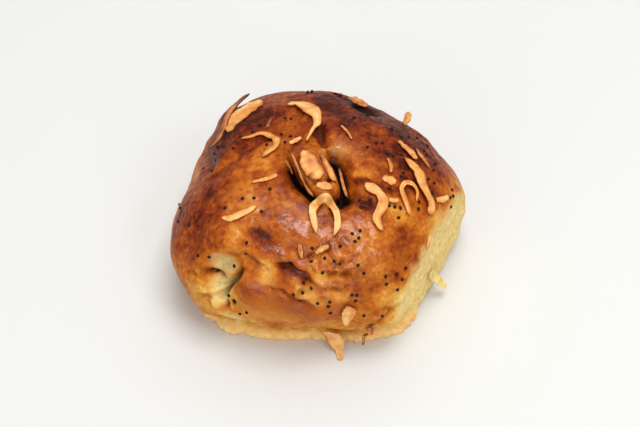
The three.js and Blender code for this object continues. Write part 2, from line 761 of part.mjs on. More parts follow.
function geometryOf(solid) {
  const mesh = solid.getMesh();
  const geometry = new THREE.BufferGeometry();
  geometry.setAttribute("position", new THREE.BufferAttribute(mesh.vertProperties, 3));
  geometry.setIndex(new THREE.BufferAttribute(mesh.triVerts, 1));
  return geometry;
}

// One seed, sunk into the facet below it
function seedSolid(dough, seed) {
  const ray = new THREE.Raycaster(core, seed.dir);
  const [hit] = ray.intersectObject(dough);
  const shape = new THREE.IcosahedronGeometry(SEED_RADIUS, 0);
  shape.deleteAttribute("normal");
  shape.deleteAttribute("uv");
  const ball = mergeVertices(shape, 1e-4);
  const facing = new THREE.Quaternion().setFromUnitVectors(new THREE.Vector3(0, 0, 1), seed.dir);
  ball.scale(SEED_LENGTH, 1, SEED_HEIGHT);
  ball.rotateZ(seed.turn);
  ball.applyQuaternion(facing);
  const at = hit.point.clone().addScaledVector(seed.dir, SEED_RADIUS * SEED_RISE);
  ball.translate(at.x, at.y, at.z);
  return solidOf(ball);
}

const roll = new THREE.Group();
roll.name = "onion_roll";
const crustMaterial = new THREE.MeshStandardMaterial({ color: BASE_COLOURS.crust, roughness: 0.5 });
const shredMaterial = new THREE.MeshStandardMaterial({ color: BASE_COLOURS.shred, roughness: 0.6 });

function addNode(name, geometry, material) {
  geometry.computeVertexNormals();
  const mesh = new THREE.Mesh(geometry, material);
  mesh.name = name;
  roll.add(mesh);
}

const shredGeometries = Object.entries(SHREDS).map(([name, shred]) => [name, shredGeometry(shred)]);
const shredPoints = shredGeometries.flatMap(([, geometry]) => {
  const position = geometry.getAttribute("position");
  const pointAt = (_, i) => new THREE.Vector3().fromBufferAttribute(position, i);
  const points = Array.from({ length: position.count }, pointAt);
  const middles = points.map((p, i) => p.clone().add(points[i ^ 2] ?? p).multiplyScalar(0.5));
  return [...points, ...middles];
});

const dough = new THREE.Mesh(doughGeometry(), new THREE.MeshBasicMaterial({ side: THREE.DoubleSide }));
dough.updateMatrixWorld(true);
const seeds = seedDirections(shredPoints).map((seed) => seedSolid(dough, seed));
const rollSolid = wasm.Manifold.union([solidOf(dough.geometry), ...seeds]);

addNode("roll", geometryOf(rollSolid), crustMaterial);
for (const [name, geometry] of shredGeometries) addNode(name, geometry, shredMaterial);

export default roll;
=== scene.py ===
import functools
import math

import bpy
import numpy as np
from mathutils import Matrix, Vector


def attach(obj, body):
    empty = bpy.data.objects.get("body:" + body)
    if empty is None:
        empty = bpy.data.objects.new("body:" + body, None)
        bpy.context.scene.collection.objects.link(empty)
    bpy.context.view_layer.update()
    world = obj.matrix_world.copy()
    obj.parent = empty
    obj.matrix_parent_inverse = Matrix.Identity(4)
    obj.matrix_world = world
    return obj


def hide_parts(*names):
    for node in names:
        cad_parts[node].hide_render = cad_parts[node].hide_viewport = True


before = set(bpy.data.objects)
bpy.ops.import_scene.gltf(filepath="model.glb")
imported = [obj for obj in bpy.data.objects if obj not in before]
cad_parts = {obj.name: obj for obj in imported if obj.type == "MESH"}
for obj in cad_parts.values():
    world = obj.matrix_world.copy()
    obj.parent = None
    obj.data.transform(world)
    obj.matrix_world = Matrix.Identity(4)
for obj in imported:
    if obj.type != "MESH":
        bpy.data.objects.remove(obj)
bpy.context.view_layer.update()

# A baked onion roll on a pale table. Lengths are in millimetres until a mesh is made.
# A place on the crust is named by azimuth and elevation in degrees, seen from the roll's core.

MM = 0.001

# Main sizes, the same as in the solid model
CORE_Z = 16.0
DOME_HEIGHT = 50.0
UNDERSIDE_DEPTH = 23.0
UPPER_POWER = 2.3
LOWER_POWER = 2.6
PLAN_RADII = np.array([49.2, 46.5, 44.6, 48.6, 49.6, 47.2, 48.8, 52.4, 46.6, 42.6, 46.0, 45.8])
CENTRE = (0.5, -1.95)
CORE = np.array([CENTRE[0], CENTRE[1], CORE_Z])
DENSER_SIDE = np.array([0.0, -0.3, 0.36])
DOUGH_DETAIL = 92

# Swellings: azimuth, elevation, radius, height
LOBES = [
    [-156, 42, 17, 1.6], [-12, 50, 17, 1.6], [62, 62, 16, 1.2], [128, 48, 14, 0.8], [-62, 20, 15, 1.4],
    [-150, 10, 11, 1.2], [178, 14, 16, 1.0], [100, 14, 16, 1.0], [40, 16, 14, 1.0], [-92, 35, 4, 0.9],
    [-83, 34, 4, 1.0], [-75, 35, 5, 0.8], [-90, 23, 3, 1.0], [-100, 27, 3, 0.8], [-83, 20, 3.5, 0.8],
    [-93, 16, 3, 0.6], [-142, 19, 4, 1.0], [-139, 9, 4, 1.4], [-133, 3, 4, 1.2], [-138, 62, 4, 0.8],
    [170, 60, 4, 0.7], [-45, 56, 5, 0.9], [-30, 40, 5, 0.6], [42, 30, 13, -1.5], [14, 20, 10, -1.1],
    [130, 26, 12, 1.6], [148, 14, 8, 0.8], [171, 17, 12, -3.2], [-152, -6, 9, -1.4], [-104, 25, 5, 2.0],
    [-98, 23, 4, 1.2], [150, 44, 5, 1.2], [138, 24, 4, 2.0],
]

# Long soft swellings: height, half width, path
RIDGES = [
    [1.5, 7, [[-152, 26], [-141, 34], [-129, 42], [-104, 46], [-80, 40], [-68, 31], [-58, 20]]],
    [3.2, 8, [[-128, 16], [-107, 17], [-95, 14], [-82, 5]]],
    [1.0, 3, [[-140, 30], [-127, 33], [-117, 33], [-104, 35]]],
    [1.0, 3, [[112, 62], [96, 70], [96, 79]]],
]

# The knob pulled up through the middle: height, half width, path
KNOB = [6.4, 5.4, [[-140, 80], [-112, 77], [-97, 72], [-89, 67]]]

# Overlaps of dough layers: height, width of the step, reach, path with the high side on its left
OVERLAPS = [
    [1.5, 0.6, 6, [[-139, 19], [-137, 23], [-134, 26], [-131, 28], [-126, 30], [-120, 29], [-112, 25]]],
    [
        1.1,
        0.5,
        4,
        [[-88, 12], [-93, 15], [-97, 18], [-99, 20], [-103, 22], [-107, 23], [-111, 22], [-114, 22]],
    ],
]

# Creases and slits: depth, half width, path
CREASES = [
    [2.2, 0.8, [[-113, 29], [-108, 30], [-105, 30], [-101, 29], [-97, 28], [-95, 25], [-93, 22]]],
    [1.6, 0.8, [[-90, 12], [-93, 14], [-96, 17], [-100, 19], [-103, 21], [-107, 22], [-111, 21], [-115, 22]]],
    [0.9, 0.6, [[-128, 30], [-123, 30], [-119, 29], [-115, 28], [-113, 25]]],
    [5.6, 1.5, [[-164, 74], [-155, 71], [-140, 69], [-128, 67], [-113, 65], [-99, 61], [-88, 57]]],
    [6.4, 1.9, [[40, 87], [-22, 84], [-34, 79], [-46, 73], [-56, 67], [-63, 61], [-66, 56]]],
    [3.6, 1.7, [[-86, 58], [-78, 58], [-70, 57], [-62, 57]]],
    [1.8, 1.8, [[-66, 57], [-58, 55], [-50, 50]]],
    [2.6, 1.7, [[91, 67], [93, 73], [88, 80], [30, 87]]],
    [
        4.6,
        1.0,
        [[-125, 26], [-126, 21], [-128, 16], [-130, 11], [-130, 7], [-128, 3], [-126, -1], [-122, -4]],
    ],
    [2.4, 1.1, [[-140, 14], [-137, 17], [-134, 17], [-133, 14]]],
    [1.4, 1.0, [[-146, 10], [-143, 13], [-140, 12]]],
    [1.6, 1.2, [[-141, 4], [-136, 6], [-133, 1], [-134, -4]]],
    [1.7, 1.0, [[-55, 9], [-59, 7], [-63, 5], [-66, 2], [-69, -1], [-71, -6]]],
    [1.2, 1.0, [[-66, 10], [-62, 7], [-57, 3]]],
    [1.5, 0.9, [[-87, 22], [-83, 21], [-80, 21], [-78, 24]]],
    [1.2, 0.8, [[-95, 33], [-95, 36], [-90, 37], [-85, 39]]],
    [1.0, 0.8, [[-82, 33], [-77, 33], [-73, 35]]],
    [1.0, 0.8, [[-86, 28], [-80, 28], [-76, 26]]],
    [0.8, 0.5, [[-104, 69], [-90, 67], [-75, 67]]],
    [0.8, 0.5, [[-113, 82], [-94, 78], [-82, 71], [-76, 67]]],
    [1.3, 0.8, [[-95, 25], [-91, 23], [-86, 22], [-81, 21]]],
    [1.4, 2.5, [[136, 68], [160, 58], [176, 48], [-170, 34]]],
    [1.8, 2.2, [[38, 34], [24, 20], [17, 4]]],
    [1.8, 2.4, [[66, 42], [88, 30], [112, 20], [132, 6]]],
    [1.8, 2.2, [[150, 10], [160, 22], [168, 30], [-176, 36]]],
]

# Round hollows: azimuth, elevation, radius, depth
HOLLOWS = [
    [-100, 73, 10, 4.6],
    [65, 42, 2.8, 4.5],
    [58, 43, 3.0, 4.5],
    [-71, 58, 2.4, 3.2],
    [-132, 22, 4, 2.0],
    [-131, 15, 3.2, 1.8],
    [-130, 8, 2.2, 1.6],
]

# Small dark holes that the solid model leaves out
FINE_HOLLOWS = [
    [-126, 7, 1.2, 2.2],
    [-136, 17, 1.0, 1.4],
    [-105, 31, 0.9, 1.2],
    [-80, 70, 1.0, 1.0],
]

# Holes with black painted shade: azimuth, elevation, radius
DEEP_SHADE_SPOTS = [
    [66, 40, 3.8], [60, 40, 4.0], [-71, 58, 2.8], [-64, 58, 2.2], [-126, 7, 1.2], [-136, 17, 1.0],
    [-105, 31, 1.1], [-80, 70, 1.0],
]

# Painted shade, black in deep slits and dark in creases and hollows, follows from the creases and hollows
SHADED_SLIT_DEPTH = 5  # a slit deeper than this that starts high enough gets black painted shade inside
SHADED_SLIT_ELEVATION = 40
FULL_SHADE_DEPTH = 3  # a crease of this depth has the full painted shade
SHADED_HOLLOW_ELEVATION = 40  # a hollow below this gets olive painted shade

# The flat side torn off the next roll
TORN_AZIMUTH = -28.0
TORN_DISTANCE = 40.8
TORN_ROUNDING = 0.8
TORN_BUMPS = [[5, 0.9, 0], [2.3, 0.4, 9]]  # size, height, shift
FINE_TORN_BUMPS = [[1.2, 0.14, 4]]
TORN_FADE = 4.5  # depth over which crust turns into crumb
KISSED_REACH = 10  # reach of the paler crust round it
LEAST_FACING = 0.05  # keeps the wall's distance finite away from that side

# The ragged lip along the base: azimuth, distance of its edge from the middle
LIP = [
    [-160, 38.0], [-152, 46.0], [-144, 47.8], [-141, 47.0], [-138, 46.3], [-135, 47.3], [-131, 46.6],
    [-128, 44.8], [-126, 43.2], [-122, 43.2], [-118, 41.5], [-114, 40.6], [-108, 39.5], [-104, 38.4],
    [-98, 37.6], [-90, 37.4], [-84, 38.4], [-76, 39.6], [-70, 40.4], [-62, 41.8], [-54, 43.4], [-48, 43.6],
    [-42, 42.0], [-36, 40.0], [-28, 36.0],
]
LIP_TOP = 2.8
LIP_TOP_SOFTNESS = 0.5
LIP_ROOT_SOFTNESS = 0.3
LIP_RAGGED_DEGREES = 3.2  # size and height of the unevenness along its edge
LIP_RAGGED_HEIGHT = 0.35
LIP_FINER = 2.7  # how many times smaller the finest unevenness is
LIP_FINE_HEIGHT = 0.45
LIP_FINE_SHIFT = 5
LIP_BUMPS = [[3.3, 0.4, 21]]  # size, height, shift
FINE_LIP_BUMPS = [[1.4, 0.3, 5]]
LEAST_LEVEL = 0.3  # keeps the lip's reach finite straight above and below the core

# The hollow between the front and its lip
HEM_DEPTH = 4.8
HEM_HEIGHT = 6.2
HEM_HALF_HEIGHT = 4.8
HEM_FROM = -141
HEM_TO = -38
HEM_FADE = 12

# Places where the crust is wrinkled: azimuth, elevation, radius, height
WRINKLES = [
    [-88, 27, 7, 1.5],
    [-98, 24, 5, 1.0],
    [-82, 34, 6, 1.0],
    [-104, 20, 4, 0.6],
    [-134, 6, 7, 0.8],
    [-127, 0, 5, 0.6],
    [-72, 0, 8, 0.4],
    [-105, 75, 6, 0.4],
]

# The folds there: sharp ridges of a noise that is bent by another one
FOLD_SIZE = [3.6, 2.8, 2.6]
FOLD_SHIFT = 2
FOLD_WANDER = 0.8
FOLD_WANDER_SIZE = 4.3
FOLD_WANDER_SHIFTS = (31, 57, 83)
FOLD_SHARPNESS = 2.2
FOLD_DEEPEST = -0.6

# Uneven crust: size of the bumps, their height
BUMPS = [[19, 0.9], [8.5, 0.45], [4, 0.16]]
FINE_BUMPS = [[2.1, 0.15], [1.1, 0.08]]

PATH_STEPS = 4  # points between two places of a crease or a ridge
FADE_SHARE = 0.18  # share of a crease or a ridge over which each end fades out
FAR = 1e3  # farther than anything on the roll
NORMAL_REACH = 0.04  # how far apart, in radians, the crust's slope is measured to each side
HASH_WEIGHTS = (127.1, 311.7, 74.7)  # these only mix up the cells of the noise
HASH_SCALE = 43758.5453

# Onion shreds: azimuth and elevation of each point, lift above the crust, widths, thickness,
# lean in radians, how far the edges curl up, toasting
SHREDS = {
    "onion_curl_back": dict(
        path=[[116, 52], [109, 53], [103, 57], [100, 64], [96, 69], [103, 74], [122, 78], [141, 80]],
        lift=[0.3, 0.5, 0.7, 0.8, 0.7, 0.4, 0.2, 0.1], width=[2.6, 4.8, 5.4, 4.6, 2.8, 1.4, 1.0, 0.8],
        thick=1.0, toast=0.0,
    ),
    "onion_wide_left": dict(
        path=[[126, 42], [133, 41], [140, 40], [147, 40], [154, 39]], lift=[0.4, 0.7, 0.8, 0.6, 0.3],
        width=[2.6, 5.6, 6.4, 5.8, 3.0], lean=-0.45, cup=0.3, toast=0.22,
    ),
    "onion_long_left": dict(
        path=[[126, 33], [131, 31], [136, 30], [142, 31], [150, 33], [157, 33], [160, 28]],
        lift=[2.2, 1.2, 0.4, 0.2, 0.1, 0.2, 0.3], width=[1.8, 2.6, 3.0, 3.2, 3.0, 2.4, 1.4], thick=1.2,
        lean=-0.3, toast=0.62,
    ),
    "onion_hook": dict(
        path=[[161, 48], [159, 52], [154, 56], [153, 60], [160, 66], [171, 67], [180, 64], [-173, 61]],
        lift=[0, 0.1, 0.3, 0.4, 0.4, 0.3, 0.1, 0], width=[0.9, 1.3, 1.8, 2.4, 2.6, 2.5, 2.3, 1.8],
        toast=0.3,
    ),
    "onion_hook_twig": dict(
        path=[[135, 55], [141, 56], [146, 57]], width=[0.9, 1.4, 1.0], thick=0.7, toast=0.6,
    ),
    "onion_chip_centre": dict(path=[[163, 73], [152, 75], [138, 76]], width=[1.4, 2.0, 1.1], toast=0.15),
    "onion_thin_left": dict(
        path=[[-152, 53], [-149, 57], [-147, 60], [-146, 64]], width=[0.7, 1.3, 1.8, 1.2], thick=0.7,
        toast=0.3,
    ),
    "onion_taper_front": dict(
        path=[[-144, 37], [-140, 39], [-138, 42], [-136, 45], [-135, 48]], lift=[0.1, 0.2, 0.2, 0.1, 0],
        width=[1.0, 2.2, 2.3, 2.0, 1.2], toast=0.15,
    ),
    "onion_arch": dict(
        path=[[-93, 45], [-95, 50], [-97, 55], [-94, 59], [-86, 60]]
        + [[-80, 57], [-79, 52], [-80, 48], [-83, 44]],
        lift=[0.7, 1.0, 1.4, 2.1, 2.3, 2.0, 1.4, 1.0, 0.7],
        width=[1.0, 2.1, 2.3, 3.0, 3.3, 2.6, 2.2, 2.1, 1.1],
        toast=0.05,
    ),
    "onion_fork": dict(
        path=[[-42, 61], [-43, 58], [-42, 54], [-44, 50], [-49, 48], [-54, 46], [-55, 43], [-55, 40]],
        lift=[0.1, 0.4, 0.6, 0.8, 0.9, 0.7, 0.4, 0], width=[2.0, 3.4, 2.6, 3.2, 3.2, 2.8, 2.4, 1.1],
        thick=1.1, toast=0.2,
    ),
    "onion_fork_arm": dict(
        path=[[-39, 49], [-37, 47], [-34, 46]], lift=[0.2, 0.3, 0.1], width=[1.2, 1.9, 1.1], toast=0.25,
    ),
    "onion_pale_patch": dict(
        path=[[-27, 57], [-25, 53], [-24, 51]], width=[1.8, 3.4, 1.8], thick=0.6, toast=0.35,
    ),
    "onion_small_arch": dict(
        path=[[-27, 40], [-22, 42], [-20, 45], [-22, 48], [-27, 48], [-31, 45], [-34, 41], [-36, 38]],
        lift=[0, 0.4, 0.7, 0.8, 0.6, 0.4, 0.2, 0], width=[0.9, 1.3, 1.7, 1.8, 1.8, 2.0, 1.8, 1.0],
        toast=0.25,
    ),
    "onion_long_right": dict(
        path=[[-2, 51], [-7, 48], [-11, 45], [-16, 42], [-20, 38], [-23, 34], [-27, 32]],
        lift=[0.3, 0.6, 0.8, 0.8, 0.8, 0.7, 0.4], width=[1.4, 3.4, 4.4, 3.8, 3.6, 3.6, 2.6], thick=1.1,
        toast=0.22,
    ),
    "onion_inner_right": dict(
        path=[[9, 45], [4, 44], [0, 42], [-4, 40]], lift=[0.2, 0.3, 0.3, 0.2], width=[0.9, 1.6, 1.6, 0.9],
        toast=0.5,
    ),
    "onion_top_right": dict(
        path=[[16, 51], [10, 50], [4, 48], [-1, 46]], lift=[0.2, 0.4, 0.4, 0.2], width=[1.3, 2.4, 2.6, 1.6],
        toast=0.3,
    ),
    "onion_flake_right": dict(
        path=[[-18, 33], [-15, 30], [-11, 28]], lift=[0.1, 0.3, 0.1], width=[1.2, 2.2, 1.2], toast=0.1,
    ),
    "onion_burnt_back": dict(
        path=[[75, 39], [70, 39], [66, 38], [62, 37]], lift=[0.6, 1.3, 1.4, 0.8],
        width=[1.6, 3.2, 3.2, 1.4], lean=0.5, toast=0.42,
    ),
    "onion_burnt_chip": dict(
        path=[[84, 32], [81, 33], [79, 34]], lift=[0.6, 1.1, 0.8], width=[1.4, 2.6, 1.4], toast=0.75,
    ),
    "onion_stick_back": dict(
        path=[[36, 38], [39, 34], [42, 31], [44, 28]], lift=[0.1, 0.9, 2.0, 3.2],
        width=[1.4, 2.4, 2.6, 2.0], thick=1.2, toast=0.4,
    ),
    "onion_knob_slice": dict(
        path=[[-146, 80], [-121, 78], [-103, 74], [-92, 70]], lift=[0.1, 0.3, 0.3, 0.2],
        width=[2.6, 5.6, 6.0, 3.4], thick=0.8, cup=-0.5, toast=0.32,
    ),
    "onion_knob_right": dict(
        path=[[-95, 85], [-78, 80], [-74, 74], [-73, 68]], lift=[0.1, 0.3, 0.3, 0.2],
        width=[1.4, 2.3, 2.5, 1.8], thick=0.8, cup=-0.4, toast=0.42,
    ),
    "onion_knob_left": dict(
        path=[[-153, 75], [-133, 73], [-117, 69], [-106, 65], [-98, 62]], lift=[1.6, 1.8, 2.1, 2.1, 1.8],
        width=[0.8, 1.1, 1.3, 1.1, 0.8], thick=0.7, cup=-0.4, toast=0.55,
    ),
    "onion_knob_tip": dict(
        path=[[-96, 67], [-87, 66], [-79, 65]], lift=[0.2, 0.4, 0.2], width=[1.6, 2.8, 1.6], thick=0.7,
        toast=0.15,
    ),
    "onion_slit_fibre": dict(
        path=[[-31, 78], [-44, 74], [-56, 67], [-61, 60]], lift=[2.4, 2.8, 2.8, 2.0],
        width=[0.7, 1.0, 1.0, 0.8], thick=0.7, toast=0.6,
    ),
    "onion_slit_left": dict(
        path=[[-160, 71], [-153, 71], [-142, 70]], lift=[2.4, 2.8, 2.4], width=[0.7, 1.0, 0.7], thick=0.7,
        toast=0.6,
    ),
    "onion_fibre_back": dict(
        path=[[61, 70], [44, 72], [26, 73]], width=[0.8, 1.1, 0.8], thick=0.6, toast=0.4,
    ),
    "onion_streak_right": dict(
        path=[[-5, 58], [-12, 56], [-19, 55]], width=[1.0, 1.6, 1.0], thick=0.6, toast=0.4,
    ),
    "onion_torn_edge": dict(
        path=[[-33, 26], [-35, 25], [-38, 23]], lift=[0.2, 0.4, 0.2], width=[1.2, 2.2, 1.2], thick=0.7,
        toast=0.1,
    ),
    "onion_mid_flake": dict(
        path=[[-93, 37], [-90, 39], [-86, 40]], lift=[0.4, 0.6, 0.4], width=[1.0, 1.9, 1.1], thick=0.7,
        toast=0.15,
    ),
    "onion_bit_front": dict(
        path=[[-102, 40], [-101, 37], [-100, 34]], lift=[0.1, 0.2, 0.1], width=[1.1, 1.8, 1.0], thick=0.6,
        toast=0.5,
    ),
    "onion_low_leaf": dict(
        path=[[-80, 14], [-79, 10], [-80, 6], [-80, 2]], lift=[0.3, 0.7, 0.9, 0.7],
        width=[1.6, 4.4, 3.2, 1.0], toast=0.08,
    ),
    "onion_front_flake": dict(
        path=[[-86, -6], [-85, -12], [-83, -17], [-82, -20]], lift=[0.6, 3.4, 5.8, 7.0],
        width=[5.6, 7.2, 5.0, 1.4], toast=0.05,
    ),
    "onion_low_twig": dict(
        path=[[-70, 3], [-70, -4], [-71, -11], [-72, -17]], lift=[0.4, 0.7, 3.0, 5.4],
        width=[1.2, 1.8, 1.6, 1.0], toast=0.55,
    ),
    "crumb_strand": dict(
        path=[[-33, 2], [-29, -5], [-26, -11], [-25, -14]], lift=[0.2, 1.0, 2.6, 4.6],
        width=[2.4, 3.4, 3.0, 2.2],
    ),
}
SHRED_THICKNESS = 0.9
SHRED_GAP = 0.12  # clear space between a shred and the crust
SHRED_CUP = 0.55  # how far the edges curl up where a shred doesn't say
SHRED_FLOOR_GAP = 0.15  # least height of a shred above the table
SHRED_CORNERS = 12  # corners of a section, the first half of them on its upper side
SHRED_SECTIONS = 14  # a shred has this many sections and some more for each place of its path
SHRED_SECTIONS_EACH = 6
SHRED_STEPS = 16  # points between two places of its path
SHRED_SMOOTHING = 3  # sections that move along with one that would touch the crust
SHRED_SHIFT = 3.1  # difference of the noise from one shred to the next

# The form of a shred's section
SECTION_POWER = 0.7  # 1 is an ellipse, less has fuller edges
SECTION_HEIGHT = 0.62
SECTION_CURL_LEVEL = 0.6  # keeps a curled section at its height
END_SHARE = 0.06  # share of the length over which each end tapers
END_LEAST = 0.08
END_THICKNESS = 0.4  # share of the thickness that the ends keep

# Uneven shreds: waves in one length, widening, twist in radians, bumps
SHRED_WAVES = 7
SHRED_WAVE_SHIFT = 1.7
WIDTH_WAVES = [[1.3, 0.12], [4.1, 0.05]]
TWIST = 0.25
TWIST_SHIFT = 5
SHRED_BUMP_SIZE = 0.9
SHRED_BUMP_HEIGHT = 0.07

# Toasting of a shred: its tips, its edges, blotches along it, fibres along it
TIP_TOAST = 0.34
TIP_SHARE = 0.12
EDGE_TOAST = 0.34
EDGE_TOAST_POWER = 4
BLOTCH_TOAST = 0.10
BLOTCH_WAVES = 2
BLOTCH_SHIFT = 11
FIBRE_TOAST = 0.30
FIBRES_ACROSS = 3.2
FIBRES_ALONG = 2.5

# Poppy seeds: azimuth and elevation of a cluster, its spread in degrees, number of seeds
SEED_CLUSTERS = [
    [98, 42, 5, 2], [145, 56, 8, 7], [150, 66, 5, 3], [162, 34, 6, 5], [-138, 48, 8, 5], [-126, 32, 3, 2],
    [-134, 15, 10, 5], [-98, 25, 6, 6], [-91, 15, 4, 4], [-123, 2, 4, 3], [-87, 38, 5, 6], [-72, 42, 7, 4],
    [-76, 22, 8, 5], [-56, 20, 9, 6], [-38, 48, 8, 9], [-22, 44, 7, 7], [2, 47, 8, 8], [-10, 27, 7, 5],
    [15, 34, 10, 4], [-34, 83, 5, 2], [30, 58, 16, 5], [-154, 25, 8, 2], [-70, 5, 3, 2], [60, 30, 24, 6],
    [110, 22, 24, 5], [175, 30, 16, 4],
]
SEED_RADIUS = 0.52
SEED_LENGTH = 1.2  # as shares of its width
SEED_HEIGHT = 0.95
SEED_DENT = 0.10  # hollow side of the kidney, as a share of its size
SEED_RISE = 0.08  # height of its middle above the crust
SEED_DETAIL = 3
SEED_TURN_AXIS = [0.3, 0.9, 0.1]  # a seed's turn counts from here
SEED_SPACING = 1.5
SEED_TO_SHRED = 0.8  # least distance between a seed and a shred
SEED_TRIES = 60  # most places that are tried in a cluster
CLUSTER_REACH = 1.6  # farthest seed as a multiple of the spread
SEED_START = 20417

# Browning by height: at the base, what the top adds, where the rise starts, how long it is
BAKE_BASE = 0.43
BAKE_RISE = 0.24
BAKE_RISE_START = 8
BAKE_RISE_LENGTH = 34

# How far each place is baked: azimuth, elevation, radius, change of the browning
BAKE_SPOTS = [
    [-146, 26, 13, 0.09], [-150, 38, 12, 0.08], [149, 33, 12, 0.24], [150, 45, 10, 0.24],
    [138, 34, 8, 0.08], [69, 46, 20, 0.27], [10, 42, 15, 0.26], [-100, 74, 7, -0.22], [43, 30, 14, 0.10],
    # [10, 80, 6, -0.14] pales the shoulder, partly paler crust and partly painted sheen
    [98, 47, 10, -0.02], [67, 53, 9, 0.10], [68, 42, 8, 0.12], [10, 80, 6, -0.14], [-30, 66, 6, -0.12],
    [5, 61, 7, 0.06], [-135, 39, 5, -0.06], [-155, 53, 9, -0.10], [-142, 44, 7, -0.08],
    [-125, 37, 3.5, 0.20], [-117, 36, 5, 0.08], [-104, 29, 3, 0.14], [-128, 31, 5, -0.22],
    [-112, 28, 3, -0.25], [-62, 17, 9, -0.10], [-52, 8, 8, -0.20], [-55, 23, 6, 0.15], [-88, 28, 7, -0.14],
    [-111, 20, 7, -0.02], [-112, 12, 7, -0.04], [-99, 18, 7, 0.12], [-146, 12, 6, -0.08],
    [-158, 18, 9, 0.04], [-133, 19, 8, -0.24], [-136, 5, 8, -0.18], [-125, 0, 7, -0.20],
    [-98, 24, 5, -0.22], [-22, 40, 10, 0.04], [170, 60, 9, -0.06], [-44, 18, 9, 0.20], [-104, 45, 8, -0.10],
    [-71, 38, 8, -0.10],
]

# Streaks in the browning: change of the browning, half width, path
STREAKS = [
    [0.50, 1.2, [[-111, 31], [-108, 30], [-105, 30], [-101, 29], [-98, 28], [-95, 25]]],
    [-0.24, 2.0, [[-118, 32], [-115, 29], [-114, 25], [-114, 21]]],
    [-0.26, 2.0, [[-105, 28], [-100, 26], [-96, 21], [-91, 17], [-87, 16]]],
    [-0.20, 2.4, [[-92, 31], [-86, 27], [-79, 28]]],
    [-0.20, 2.0, [[-89, 22], [-83, 19], [-78, 16]]],
    [0.16, 2.0, [[-123, 17], [-117, 19], [-112, 21]]],
    [0.26, 1.5, [[-131, 38], [-125, 39], [-118, 40]]],
    [0.22, 1.2, [[-95, 37], [-90, 40], [-83, 41]]],
    [0.22, 1.5, [[-108, 39], [-101, 37], [-95, 33]]],
    [0.45, 1.4, [[97, 69], [95, 75], [88, 83]]],
    [-0.10, 2.4, [[86, 78], [23, 84], [-15, 78]]],
    [-0.10, 3.0, [[-141, 45], [-136, 51], [-128, 57]]],
    [0.32, 1.2, [[-48, 65], [-42, 64], [-33, 61]]],
    [0.30, 1.4, [[-55, 54], [-50, 51], [-48, 49]]],
    [0.30, 1.5, [[-7, 53], [-8, 50], [-11, 47]]],
    [-0.20, 4.0, [[-49, 47], [-41, 41], [-37, 33]]],
    [0.40, 0.6, [[-144, 78], [-139, 73], [-124, 70], [-108, 66], [-96, 62]]],
    [0.40, 0.6, [[-105, 83], [-80, 80], [-73, 74], [-75, 68]]],
    [0.30, 0.5, [[-103, 67], [-90, 68], [-75, 67]]],
    [0.35, 0.9, [[25, 89], [-2, 85], [-22, 80]]],
    [-0.08, 4.0, [[-114, 8], [-105, 8], [-95, 9]]],
]
STREAK_WANDER = 0.5  # how far the streaks stray, and the size of their bends
STREAK_BENDS = 1.9
STREAK_SHIFTS = (13, 29, 47)

# Uneven browning: size of the blotches, change, shift; size in degrees and change of upright streaks
BLOTCHES = [[9, 0.10, 3], [4.1, 0.08, 7]]
UPRIGHT_WIDTH = 5
UPRIGHT_LENGTH = 13
UPRIGHT_CHANGE = 0.07

# Change of the browning in creases, where it is painted shade, round the torn side, on the lip and at the
# foot
CREASE_SHADE_BAKE = 0.16
KISSED_BAKE = 0.34
LIP_BAKE = 0.22
FOOT_BAKE = 0.20
FOOT_HEIGHT = 11

# Places glossy with egg wash: azimuth, elevation, radius
WET_SPOTS = [
    [-88, 28, 9],
    [-105, 46, 10],
    [-71, 37, 9],
    [-112, 36, 5],
    [-115, 23, 4],
    [-138, 43, 7],
    [-5, 80, 5],
]

# Pale crumb that shows through, and one pale patch of painted sheen: azimuth, elevation, radius, amount
CRUMB_SPOTS = [
    [-133, 22, 4, 0.8],
    [-131, 14, 3.6, 0.9],
    [-131, 7, 3, 0.8],
    [-127, -4, 5, 0.6],
    [-137, 4, 5, 0.15],
    # not crumb but a pale patch of painted sheen on the shoulder
    [10, 80, 6, 0.28],
]

# Places browned evenly: azimuth, elevation, radius
CALM_SPOTS = [
    [-108, 15, 10],
    [-92, 13, 9],
]
CALM = 0.85


def direction(azimuth, elevation):
    a = np.radians(np.asarray(azimuth, float))
    e = np.radians(np.asarray(elevation, float))
    return np.stack([np.cos(e) * np.cos(a), np.cos(e) * np.sin(a), np.sin(e)], -1)


def unit(v):
    return v / np.maximum(np.linalg.norm(v, axis=-1, keepdims=True), 1e-12)


def blend(p0, p1, p2, p3, u):
    cubic = (3 * p1 - p0 - 3 * p2 + p3) * u**3
    square = (2 * p0 - 5 * p1 + 4 * p2 - p3) * u**2
    return 0.5 * (2 * p1 + (p2 - p0) * u + square + cubic)


def ease(u):
    return u * u * (3 - 2 * u)


def list_value(values, u):
    return np.interp(u, np.linspace(0, 1, len(values)), values)


def plan_radius(angle):
    n = len(PLAN_RADII)
    place = np.mod(angle / (2 * np.pi) * n, n)
    i = np.floor(place).astype(int)
    r = [PLAN_RADII[(i + k) % n] for k in (-1, 0, 1, 2)]
    return blend(*r, place - i)


def dome_radius(d):
    """The plain dome."""
    level = np.hypot(d[:, 0], d[:, 1]) / plan_radius(np.arctan2(d[:, 1], d[:, 0]))
    up = np.maximum(d[:, 2], 0) / (DOME_HEIGHT - CORE_Z)
    down = np.maximum(-d[:, 2], 0) / UNDERSIDE_DEPTH
    upper = (level**UPPER_POWER + up**UPPER_POWER) ** (-1 / UPPER_POWER)
    lower = (level**LOWER_POWER + down**LOWER_POWER) ** (-1 / LOWER_POWER)
    return np.where(d[:, 2] >= 0, upper, lower)


def on_dome(d):
    return d * dome_radius(d)[:, None]


